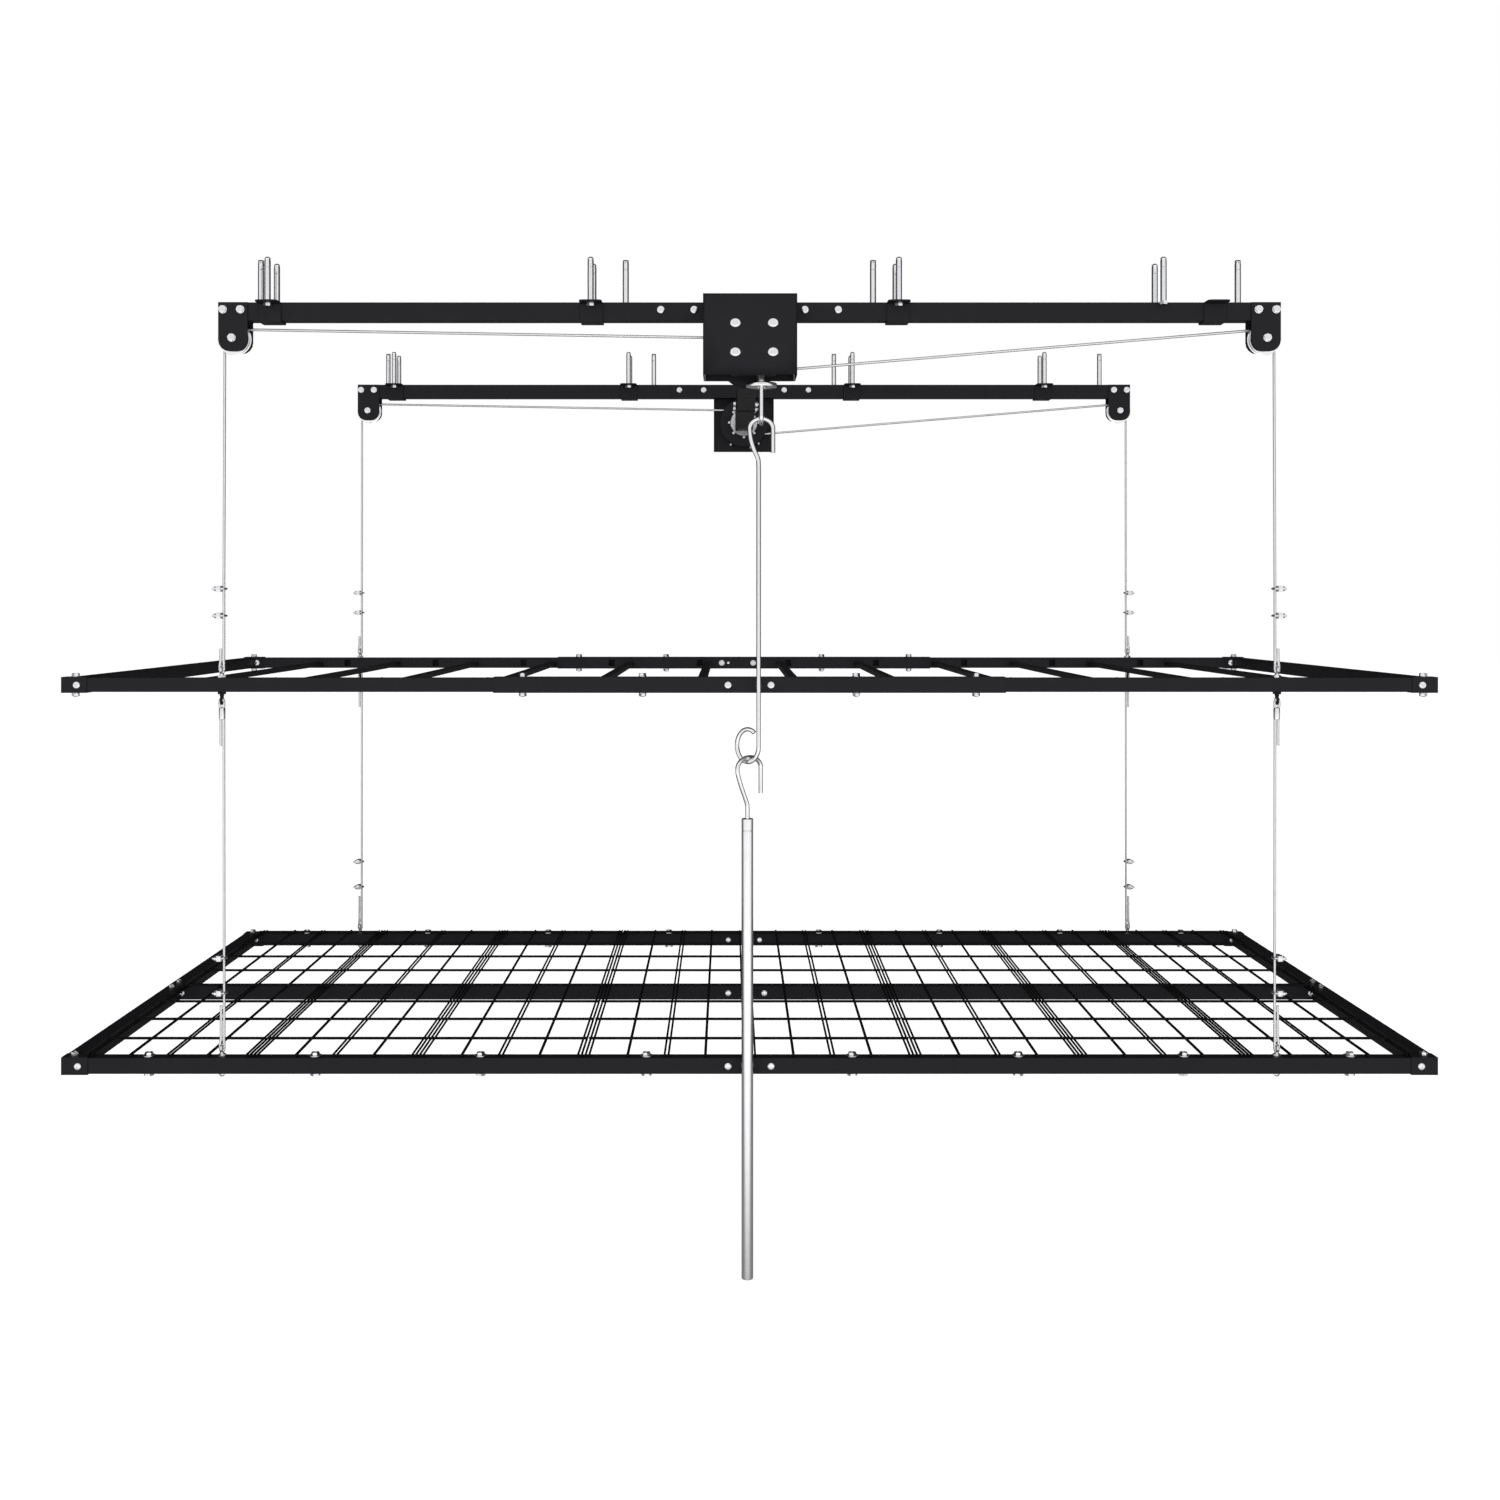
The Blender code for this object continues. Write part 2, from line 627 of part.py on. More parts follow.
def make_rope_run(row, y, side_name, side, zinc):
    """The rope from its turns on the drum, along the rail and over the pulley."""
    per_turn = 18
    drum_radius = (DRUM_CORE + GAP + ROPE_RADIUS) / math.cos(math.pi / per_turn)
    pulley_steps = 5
    pulley_radius = (GROOVE_RADIUS + GAP + ROPE_RADIUS) / math.cos(math.pi / pulley_steps / 4)
    drum, pulley = (0.0, DRIVE_Z), (side * PULLEY_X, PULLEY_Z)
    on_drum, on_pulley, normal = tangent_points(drum, -side * drum_radius, pulley, pulley_radius)
    normal_angle = math.atan2(normal.y, normal.x)
    leave = normal_angle + (math.pi if side > 0 else 0)
    turns = 1.15
    pitch = 2 * ROPE_RADIUS + GAP
    steps = int(per_turn * turns)
    points = []
    drum_y = y + side * (ROPE_RADIUS + GAP)
    for i in range(steps, 0, -1):
        angle = leave - 2 * math.pi * i / per_turn
        away = side * pitch * i / per_turn
        points.append((drum_radius * math.cos(angle), drum_y + away, DRIVE_Z + drum_radius * math.sin(angle)))
    points.append((on_drum.x, drum_y, on_drum.y))
    points.append((on_pulley.x, y, on_pulley.y))
    end = 0.0 if side > 0 else math.pi
    for i in range(1, pulley_steps + 1):
        angle = normal_angle + (end - normal_angle) * i / pulley_steps
        x, z = pulley[0] + pulley_radius * math.cos(angle), pulley[1] + pulley_radius * math.sin(angle)
        points.append((x, y, z))
    solid(f"rope_run_{row}_{side_name}", zinc, [sweep(points, ROPE_RADIUS, ROPE_SIDES)], smooth=True)
    return pulley_radius


def hanger_link(x, y, top, bottom):
    """A thimble round its eye, as one flat link six millimetres thick."""
    middle = (top + bottom) / 2
    half = (top - bottom) / 2
    outer = [(x + u, v) for u, v in arc_points((0, middle), 8.5, half, 0, 315, 7)]
    inner = [(x + u, v) for u, v in arc_points((0, middle), 5, half - 3.5, 0, 315, 7)]
    return ring_prism(outer, inner, "Y", y - 3, y + 3)


def rope_clip(x, y, z):
    return box((x - 9, y - 7, z - 6), (x + 9, y + 7, z + 6))


def make_hanger(row, upper_y, lower_y, side_name, side, zinc):
    """Eye bolts, thimbles, clips and the lower rope that join the tiers below one drop rope."""
    x = side * HANGER_X
    upper_bottom = UPPER_TOP - UPPER_BEAM
    lower_bottom = LOWER_TOP - LOWER_BEAM
    pieces = [cylinder("Z", (x, upper_y), HANGER_BOLT_RADIUS, upper_bottom - 24, UPPER_TOP + 18, 8)]
    pieces.append(cylinder("Z", (x, upper_y), 7.5, UPPER_TOP + GAP, UPPER_TOP + 4.5, 6))
    pieces.append(cylinder("Z", (x, upper_y), 7.5, upper_bottom - 7.5, upper_bottom - GAP, 6))
    pieces.append(hanger_link(x, upper_y, UPPER_TOP + 50, UPPER_TOP + 14))
    pieces.append(hanger_link(x, upper_y, upper_bottom - 20, upper_bottom - 56))
    upper_rope = [(x, upper_y, UPPER_TOP + 48), (x, upper_y, UPPER_TOP + 175)]
    pieces.append(sweep(upper_rope, ROPE_RADIUS, ROPE_SIDES))
    lower_rope = [(x, upper_y, upper_bottom - 54), (x, lower_y, LOWER_TOP + 48)]
    pieces.append(sweep(lower_rope, ROPE_RADIUS, ROPE_SIDES))
    for height in (158, 110):
        pieces.append(rope_clip(x, upper_y, UPPER_TOP + height))
    for height in (175, 113):
        pieces.append(rope_clip(x, lower_y, LOWER_TOP + height))
    pieces.append(hanger_link(x, lower_y, LOWER_TOP + 50, LOWER_TOP + 14))
    pieces.append(cylinder("Z", (x, lower_y), HANGER_BOLT_RADIUS, lower_bottom - 11, LOWER_TOP + 18, 8))
    pieces.append(cylinder("Z", (x, lower_y), 7.5, LOWER_TOP + GAP, LOWER_TOP + 4.5, 6))
    pieces.append(cylinder("Z", (x, lower_y), 7.5, lower_bottom - 7, lower_bottom - GAP, 6))
    solid(f"hanger_{row}_{side_name}", zinc, pieces)


def make_rope_drop(row, y, hanger_y, side_name, side, pulley_radius, zinc):
    top = (side * (PULLEY_X + pulley_radius), y, PULLEY_Z - 2 * GAP)
    bottom = (side * HANGER_X, hanger_y, UPPER_TOP + 175 + 2 * GAP)
    drop = sweep([top, bottom], ROPE_RADIUS, ROD_SIDES)
    solid(f"rope_drop_{row}_{side_name}", zinc, [drop], smooth=True)


# ---------------------------------------------------------------- tiers


def slat(x, half_length):
    """An inverted channel across the tier, with a rounded tab turned up at each end."""
    half = SLAT_WIDTH / 2
    foot = SLAT_TOP - SLAT_HEIGHT
    inner_half = half - SLAT_PLATE
    outline = [(half, foot), (half, SLAT_TOP), (-half, SLAT_TOP), (-half, foot)]
    outline += [(-inner_half, foot), (-inner_half, SLAT_TOP - SLAT_PLATE)]
    outline += [(inner_half, SLAT_TOP - SLAT_PLATE), (inner_half, foot)]
    channel = [(x + u, v) for u, v in outline]
    tab = [(x + u, v) for u, v in arc_points((0, TAB_TOP - half), half, half, 0, 180, 8)]
    tab += [(x - half, foot), (x + half, foot)]
    pieces = [prism(channel, "Y", -half_length + 0.5, half_length - 0.5)]
    for side in (-1, 1):
        start, end = sorted((side * half_length, side * (half_length - TAB_PLATE)))
        pieces.append(prism(tab, "Y", start, end))
    return pieces


def beam_windows(xs, y, inner_size):
    """Cutters for the square holes in the inner face of one long beam."""
    half = BEAM_WINDOW / 2
    z = UPPER_TOP - UPPER_BEAM / 2
    inner_face = abs(y) - inner_size / 2
    near, far = sorted((math.copysign(inner_face - 1, y), math.copysign(inner_face + 2.4, y)))
    return [box((x - half, near, z - half), (x + half, far, z + half)) for x in xs]


def make_upper_ladders(steel):
    beam_y = TIER_HALF_DEPTH - UPPER_BEAM / 2
    beam_z = UPPER_TOP - UPPER_BEAM / 2
    inner_end = CENTRE_SLEEVE_HALF - CENTRE_LAP
    outer_end = TIER_HALF_LENGTH - 3
    slats = [FIRST_SLAT_X + SLAT_STEP * i for i in range(6)]
    for side_name, side in (("left", -1), ("right", 1)):
        start, end = sorted((side * inner_end, side * outer_end))
        pieces, cuts = [], []
        for y in (-beam_y, beam_y):
            pieces.append(square_tube("X", (y, beam_z), UPPER_BEAM, BEAM_WALL, start, end))
            cuts.append(cylinder("Z", (side * HANGER_X, y), HANGER_BOLT_RADIUS + GAP,
                                 UPPER_TOP - UPPER_BEAM - 2, UPPER_TOP + 2, 10))
            cuts += beam_windows([side * x for x in OUTER_WINDOW_X], y, UPPER_BEAM)
        reach = beam_y - UPPER_BEAM / 2 + 0.8
        for x in slats[2:]:
            pieces += slat(side * x, reach)
        solid(f"upper_ladder_{side_name}", steel, pieces, cuts)
    sleeve_wall = (UPPER_SLEEVE - UPPER_BEAM) / 2 - GAP
    pieces, cuts = [], []
    for y in (-beam_y, beam_y):
        ends = (-CENTRE_SLEEVE_HALF, CENTRE_SLEEVE_HALF)
        pieces.append(square_tube("X", (y, beam_z), UPPER_SLEEVE, sleeve_wall, *ends))
        cuts += beam_windows([side * x for x in CENTRE_WINDOW_X for side in (-1, 1)], y, UPPER_SLEEVE)
    reach = beam_y - UPPER_SLEEVE / 2 + 0.8
    for x in slats[:2]:
        pieces += slat(-x, reach) + slat(x, reach)
    solid("upper_ladder_centre", steel, pieces, cuts)


def make_tier_end(name, side, beam, sleeve, sleeve_length, top, steel):
    """An end beam with a socket at each corner that the long beams slide into."""
    beam_y = TIER_HALF_DEPTH - beam / 2
    centre_z = top - beam / 2
    x = side * (TIER_HALF_LENGTH - beam / 2)
    wall = (sleeve - beam) / 2 - GAP
    start, end = sorted((side * TIER_HALF_LENGTH, side * (TIER_HALF_LENGTH - sleeve_length)))
    reach = beam_y - sleeve / 2 + 0.6
    pieces = [square_tube("Y", (x, centre_z), beam, BEAM_WALL, -reach, reach)]
    for y in (-beam_y, beam_y):
        pieces.append(square_tube("X", (y, centre_z), sleeve, wall, start, end))
    drain = cylinder("Z", (x, 0), 3, top - beam - 2, centre_z, 8)
    solid(name, steel, pieces, [drain])


def make_lower_beams(steel):
    beam_y = TIER_HALF_DEPTH - LOWER_BEAM / 2
    centre_z = LOWER_TOP - LOWER_BEAM / 2
    for name, y in (("front", -beam_y), ("middle", 0.0), ("rear", beam_y)):
        inner_face = TIER_HALF_LENGTH - LOWER_BEAM - GAP
        end = inner_face if name == "middle" else TIER_HALF_LENGTH - 3
        beam = square_tube("X", (y, centre_z), LOWER_BEAM, BEAM_WALL, -end, end)
        cuts = []
        if name != "middle":
            for x in (-HANGER_X, HANGER_X):
                cuts.append(cylinder("Z", (x, y), HANGER_BOLT_RADIUS + GAP,
                                     LOWER_TOP - LOWER_BEAM - 2, LOWER_TOP + 2, 10))
        solid(f"lower_beam_{name}", steel, [beam], cuts)


def bars_between(low, high, bars):
    """The grid lines of some bars, each bar being a (start, end) pair, with which cells are solid."""
    lines = sorted({low, high} | {value for bar in bars for value in bar if low <= value <= high})
    middles = [(a + b) / 2 for a, b in zip(lines, lines[1:])]
    filled = [any(start < middle < end for start, end in bars) for middle in middles]
    return lines, filled


def lattice(x_bars, y_bars, low_z, high_z):
    """A flat welded grille: bars along Y at each x span and bars along X at each y span."""
    xs, x_filled = bars_between(x_bars[0][0], x_bars[-1][1], x_bars)
    ys, y_filled = bars_between(-MESH_HALF_DEPTH, MESH_HALF_DEPTH, y_bars)
    bm = bmesh.new()
    layers = [[[bm.verts.new((x, y, z)) for y in ys] for x in xs] for z in (low_z, high_z)]

    def is_solid(i, j):
        inside = 0 <= i < len(x_filled) and 0 <= j < len(y_filled)
        return inside and (x_filled[i] or y_filled[j])

    low, high = layers
    for i in range(len(x_filled)):
        for j in range(len(y_filled)):
            if not is_solid(i, j):
                continue
            corners = ((i, j), (i + 1, j), (i + 1, j + 1), (i, j + 1))
            neighbours = ((i, j - 1), (i + 1, j), (i, j + 1), (i - 1, j))
            for layer in layers:
                bm.faces.new([layer[a][b] for a, b in corners])
            for k, neighbour in enumerate(neighbours):
                if not is_solid(*neighbour):
                    a, b = corners[k], corners[(k + 1) % 4]
                    bm.faces.new((low[a[0]][a[1]], low[b[0]][b[1]], high[b[0]][b[1]], high[a[0]][a[1]]))
    loose = [vert for vert in bm.verts if not vert.link_faces]
    bmesh.ops.delete(bm, geom=loose, context="VERTS")
    return finish_bmesh(bm)


def make_mesh_decks(steel):
    """Four welded mesh panels on each side of the middle, joined along their seams."""
    bottom = LOWER_TOP + (LOWER_SLEEVE - LOWER_BEAM) / 2 + GAP
    half = WIRE / 2
    y_bars = [(CROSS_WIRE_STEP * i - half, CROSS_WIRE_STEP * i + half) for i in range(-3, 4)]
    for side_name, side in (("left", -1), ("right", 1)):
        spans = [(1.15, SEAM_HALF_SPREAD)]
        for panel in range(PANELS_EACH_SIDE):
            middle = PANEL_PITCH * (panel + 0.5)
            seam = PANEL_PITCH * (panel + 1)
            last = panel == PANELS_EACH_SIDE - 1
            for offset in (-SINGLE_WIRE_OFFSET, SINGLE_WIRE_OFFSET):
                spans.append((middle + offset - half, middle + offset + half))
            spans.append((middle - PAIR_HALF_SPREAD, middle + PAIR_HALF_SPREAD))
            spans.append((seam - SEAM_HALF_SPREAD, seam - 1.15 if last else seam + SEAM_HALF_SPREAD))
        x_bars = sorted(tuple(sorted((side * a, side * b))) for a, b in spans)
        solid(f"mesh_deck_{side_name}", steel, [lattice(x_bars, y_bars, bottom, bottom + WIRE)])


# ---------------------------------------------------------------- the whole rack


def build():
    clear_scene()
    black = make_material("black_powder_coat", (0.024, 0.024, 0.027), 0.45, 0.0)
    black_mesh = make_material("black_mesh_coat", (0.012, 0.012, 0.013), 0.5, 0.0)
    zinc = make_material("bright_zinc", (0.72, 0.72, 0.74), 0.22, 1.0)
    wire = make_material("wire_rope", (0.6, 0.6, 0.62), 0.35, 1.0)

    make_rails(black)
    make_saddles(black)
    make_cover(black)
    make_housing(black)
    make_rear_plate(black)
    make_drive(black, zinc)
    make_worm_shaft(zinc)
    make_crank_rod(zinc)
    make_crank_handle(zinc)

    sign = {"front": -1, "rear": 1}
    for row in ("front", "rear"):
        y = sign[row] * RAIL_Y
        upper_y = sign[row] * (TIER_HALF_DEPTH - UPPER_BEAM / 2)
        lower_y = sign[row] * (TIER_HALF_DEPTH - LOWER_BEAM / 2)
        for side_name, side in (("left", -1), ("right", 1)):
            make_pulley_station(row, y, side_name, side, black, zinc)
            radius = make_rope_run(row, y, side_name, side, wire)
            make_rope_drop(row, y, upper_y, side_name, side, radius, wire)
            make_hanger(row, upper_y, lower_y, side_name, side, zinc)

    make_upper_ladders(black)
    make_lower_beams(black)
    for side_name, side in (("left", -1), ("right", 1)):
        make_tier_end(f"upper_end_{side_name}", side, UPPER_BEAM, UPPER_SLEEVE,
                      UPPER_SLEEVE_LENGTH, UPPER_TOP, black)
        make_tier_end(f"lower_end_{side_name}", side, LOWER_BEAM, LOWER_SLEEVE,
                      LOWER_SLEEVE_LENGTH, LOWER_TOP, black)
    make_mesh_decks(black_mesh)


build()
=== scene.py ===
"""Finishes, fasteners, ropes and fittings of the ceiling mounted pulley rack, set on its frame.

X runs along the rails, Y from the winch side to the back, Z up from the ceiling. Sizes below are
in millimetres unless a name says otherwise.
"""

import json
import math

import bmesh
import bpy
from mathutils import Matrix, Vector


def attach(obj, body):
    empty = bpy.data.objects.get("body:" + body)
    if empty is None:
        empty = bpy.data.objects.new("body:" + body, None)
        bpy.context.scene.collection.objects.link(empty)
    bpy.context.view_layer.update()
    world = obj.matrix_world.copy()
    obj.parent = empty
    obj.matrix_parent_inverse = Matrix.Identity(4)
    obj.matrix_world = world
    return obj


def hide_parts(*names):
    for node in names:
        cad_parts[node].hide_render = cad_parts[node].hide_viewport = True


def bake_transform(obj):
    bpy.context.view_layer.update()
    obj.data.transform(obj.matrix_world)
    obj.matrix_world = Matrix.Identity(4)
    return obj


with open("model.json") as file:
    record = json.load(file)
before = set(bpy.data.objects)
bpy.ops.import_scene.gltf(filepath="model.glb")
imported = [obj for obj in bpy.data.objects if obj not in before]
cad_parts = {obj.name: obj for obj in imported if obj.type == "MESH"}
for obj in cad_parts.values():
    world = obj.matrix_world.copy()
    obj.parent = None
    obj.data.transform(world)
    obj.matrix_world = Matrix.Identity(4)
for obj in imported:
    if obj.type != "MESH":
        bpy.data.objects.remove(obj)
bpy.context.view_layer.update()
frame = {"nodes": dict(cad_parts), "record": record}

MM = 0.001

# Places of the frame's own parts
ROWS = (("front", -1), ("rear", 1))
SIDES = (("left", -1), ("right", 1))
RAIL_Y = 594.5
RAIL_HALF = 16.0
RAIL_BOLT_Z = -13.0
SADDLE_X = (-849.0, -280.0, 263.0, 729.0)
SLID_SADDLE_X = 824.0
ANCHOR_OFFSET = 32.5
RAIL_ANCHOR_X = (220.0, 869.0)
PULLEY_X, PULLEY_Z = 916.0, -63.0
BRACKET_FACE = 19.3
DRIVE_Z = -92.0
DRUM_HALF = 14.5
WORM_X, WORM_Y = 20.0, -659.5
COVER_FRONT = -708.5
ROPE_RADIUS = 2.5
HANGER_X = 938.0
UPPER_Y, UPPER_TOP, UPPER_BOTTOM = 597.0, -665.0, -690.0
LOWER_Y, LOWER_TOP, LOWER_BOTTOM = 595.5, -1338.5, -1366.5


# ---------------------------------------------------------------- bench tools


def deselect():
    if bpy.context.mode != "OBJECT":
        bpy.ops.object.mode_set(mode="OBJECT")
    bpy.ops.object.select_all(action="DESELECT")


def take(obj):
    deselect()
    obj.select_set(True)
    bpy.context.view_layer.objects.active = obj


def open_mesh(obj, kind="FACE"):
    take(obj)
    bpy.ops.object.mode_set(mode="EDIT")
    bpy.ops.mesh.select_mode(type=kind)
    bpy.ops.mesh.select_all(action="DESELECT")


def close_mesh():
    bpy.ops.object.mode_set(mode="OBJECT")


def pick(obj, kind, test):
    """In edit mode, selects the faces or edges whose middle, in millimetres, passes the test."""
    bpy.ops.mesh.select_mode(type=kind)
    bpy.ops.mesh.select_all(action="DESELECT")
    mesh = bmesh.from_edit_mesh(obj.data)
    for part in mesh.faces if kind == "FACE" else mesh.edges:
        middle = sum((vert.co for vert in part.verts), Vector()) / (len(part.verts) * MM)
        part.select_set(bool(test(middle, part)))
    bmesh.update_edit_mesh(obj.data)


def pull(x, y, z):
    """Extrudes what is selected by a distance in millimetres."""
    bpy.ops.mesh.extrude_region_move(TRANSFORM_OT_translate={"value": (x * MM, y * MM, z * MM)})


def add_modifier(obj, kind, **settings):
    modifier = obj.modifiers.new(kind.lower(), kind)
    for key, value in settings.items():
        setattr(modifier, key, value)
    take(obj)
    bpy.ops.object.modifier_apply(modifier=modifier.name)


def cut(obj, tool, operation="DIFFERENCE"):
    add_modifier(obj, "BOOLEAN", operation=operation, solver="EXACT", object=tool)
    bpy.data.objects.remove(tool, do_unlink=True)


def join(obj, *others):
    take(obj)
    for other in others:
        other.select_set(True)
    bpy.ops.object.join()
    return obj


def soften(obj, angle=35):
    take(obj)
    bpy.ops.object.shade_smooth_by_angle(angle=math.radians(angle))
    return obj


def stepped(name, profile, count=32, turn=0.0):
    """A round or many-sided piece drawn up from a disc through (radius, height) steps."""
    radius, height = profile[0]
    deselect()
    bpy.ops.mesh.primitive_circle_add(vertices=count, radius=radius * MM, fill_type="NGON")
    obj = bpy.context.object
    obj.name = name
    open_mesh(obj)
    bpy.ops.mesh.select_all(action="SELECT")
    bpy.ops.transform.translate(value=(0, 0, height * MM))
    if turn:
        bpy.ops.transform.rotate(value=turn, orient_axis="Z", center_override=(0, 0, 0))
    for next_radius, next_height in profile[1:]:
        pull(0, 0, next_height - height)
        factor = next_radius / radius
        bpy.ops.transform.resize(value=(factor, factor, 1), center_override=(0, 0, next_height * MM))
        radius, height = next_radius, next_height
    bpy.ops.mesh.select_all(action="SELECT")
    bpy.ops.mesh.normals_make_consistent(inside=False)
    close_mesh()
    return obj


def block(name, low, high):
    """A cube stretched to its corners, with the object left at the origin."""
    deselect()
    bpy.ops.mesh.primitive_cube_add(size=1)
    obj = bpy.context.object
    obj.name = name
    open_mesh(obj)
    bpy.ops.mesh.select_all(action="SELECT")
    size = [(b - a) * MM for a, b in zip(low, high)]
    middle = [(a + b) / 2 * MM for a, b in zip(low, high)]
    bpy.ops.transform.resize(value=size, center_override=(0, 0, 0))
    bpy.ops.transform.translate(value=middle)
    close_mesh()
    return obj


def bent_rod(name, points, radius, sides=16, smooth_path=True):
    """A round rod bent along points in millimetres, with its ends closed and eased."""
    curve = bpy.data.curves.new(name, "CURVE")
    curve.dimensions = "3D"
    curve.bevel_depth = radius * MM
    curve.bevel_resolution = sides // 4 - 1
    curve.use_fill_caps = True
    spline = curve.splines.new("POLY")
    spline.points.add(len(points) - 1)
    for point, place in zip(spline.points, points):
        point.co = (*(Vector(place) * MM), 1)
    spline.use_smooth = smooth_path
    obj = bpy.data.objects.new(name, curve)
    bpy.context.collection.objects.link(obj)
    take(obj)
    bpy.ops.object.convert(target="MESH")
    obj = bpy.context.object
    open_mesh(obj)
    bpy.ops.mesh.select_all(action="SELECT")
    bpy.ops.mesh.remove_doubles(threshold=1e-6)
    bpy.ops.mesh.normals_make_consistent(inside=False)
    pick(obj, "FACE", lambda middle, face: len(face.verts) > 4)
    bpy.ops.mesh.inset(thickness=radius * 0.3 * MM, depth=radius * 0.2 * MM)
    close_mesh()
    return soften(obj, 40)


def arc(centre, radius_u, radius_v, start, end, count):
    """Points (u, v) of an elliptical arc between two angles in degrees."""
    points = []
    for i in range(count + 1):
        angle = math.radians(start + (end - start) * i / count)
        points.append((centre[0] + radius_u * math.cos(angle), centre[1] + radius_v * math.sin(angle)))
    return points


def rounded(points, steps=6):
    """The points with a smooth curve drawn through them."""
    points = [Vector(point) for point in points]
    ends = [2 * points[0] - points[1]] + points + [2 * points[-1] - points[-2]]
    path = []
    for a, b, c, d in zip(ends, ends[1:], ends[2:], ends[3:]):
        for i in range(steps):
            t = i / steps
            bend = (2 * a - 5 * b + 4 * c - d) * t * t + (3 * b - a - 3 * c + d) * t * t * t
            path.append(0.5 * (2 * b + (c - a) * t + bend))
    path.append(points[-1])
    return path


def seat(direction, point, turn=0.0):
    """Stands a piece's own Z along the direction, with its foot at the point."""
    stand = Vector(direction).to_track_quat("Z", "Y").to_matrix().to_4x4()
    return Matrix.Translation(Vector(point) * MM) @ stand @ Matrix.Rotation(math.radians(turn), 4, "Z")


def fit(name, finish, body, parts, stands_for=()):
    """One finished piece: copies of patterns at their places, in one mesh with its own material."""
    merged = bmesh.new()
    for pattern, matrix in parts:
        mesh = pattern.data.copy()
        mesh.transform(matrix)
        if matrix.determinant() < 0:
            mesh.flip_normals()
        merged.from_mesh(mesh)
        bpy.data.meshes.remove(mesh)
    mesh = bpy.data.meshes.new(name)
    merged.to_mesh(mesh)
    merged.free()
    mesh.materials.append(FINISHES[finish][0])
    obj = bpy.data.objects.new(name, mesh)
    bpy.context.collection.objects.link(obj)
    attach(obj, body)
    if stands_for:
        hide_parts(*stands_for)
    return obj


def put_away(patterns):
    for pattern in patterns:
        bpy.data.objects.remove(pattern, do_unlink=True)


# ---------------------------------------------------------------- finishes


def new_group(name, inputs, outputs):
    group = bpy.data.node_groups.new(name, "ShaderNodeTree")
    for socket, kind, value in inputs:
        made = group.interface.new_socket(socket, in_out="INPUT", socket_type=kind)
        made.default_value = value
    for socket, kind in outputs:
        group.interface.new_socket(socket, in_out="OUTPUT", socket_type=kind)
    entry = group.nodes.new("NodeGroupInput")
    leave = group.nodes.new("NodeGroupOutput")
    return group, entry, leave


def add_node(tree, kind, links=(), **settings):
    """A node with its settings; links pairs one of its inputs with the socket that feeds it."""
    node = tree.nodes.new(kind)
    for key, value in settings.items():
        setattr(node, key, value)
    for socket, source in links:
        if hasattr(source, "is_output"):
            tree.links.new(source, node.inputs[socket])
        else:
            node.inputs[socket].default_value = source
    return node


def make_coat_grain():
    """Fine bumps and faint patches of a sprayed and baked powder coat."""
    inputs = [("Grain", "NodeSocketFloat", 900.0), ("Dark", "NodeSocketColor", (0.01, 0.01, 0.01, 1)),
              ("Light", "NodeSocketColor", (0.02, 0.02, 0.02, 1)), ("Rough Low", "NodeSocketFloat", 0.4),
              ("Rough High", "NodeSocketFloat", 0.5)]
    outputs = [("Color", "NodeSocketColor"), ("Roughness", "NodeSocketFloat"), ("Height", "NodeSocketFloat")]
    group, entry, leave = new_group("coat_grain", inputs, outputs)
    place = add_node(group, "ShaderNodeTexCoord").outputs["Object"]
    grain = add_node(group, "ShaderNodeTexNoise", [("Vector", place), ("Scale", entry.outputs["Grain"]),
                                                   ("Detail", 2.0), ("Roughness", 0.6)])
    patches = add_node(group, "ShaderNodeTexNoise", [("Vector", place), ("Scale", 7.0), ("Detail", 4.0)])
    mixed = add_node(group, "ShaderNodeMix", [("Factor", patches.outputs[0]), ("A", entry.outputs["Dark"]),
                                              ("B", entry.outputs["Light"])], data_type="RGBA")
    tint = [socket for socket in mixed.outputs if socket.type == "RGBA"][0]
    for socket, source in (("A", "Dark"), ("B", "Light")):
        target = [s for s in mixed.inputs if s.name == socket and s.type == "RGBA"][0]
        group.links.new(entry.outputs[source], target)
    blotch = add_node(group, "ShaderNodeTexNoise", [("Vector", place), ("Scale", 40.0), ("Detail", 3.0)])
    rough = add_node(group, "ShaderNodeMapRange", [("Value", blotch.outputs[0]),
                                                   ("To Min", entry.outputs["Rough Low"]),
                                                   ("To Max", entry.outputs["Rough High"])])
    group.links.new(tint, leave.inputs["Color"])
    group.links.new(rough.outputs[0], leave.inputs["Roughness"])
    group.links.new(grain.outputs[0], leave.inputs["Height"])
    return group


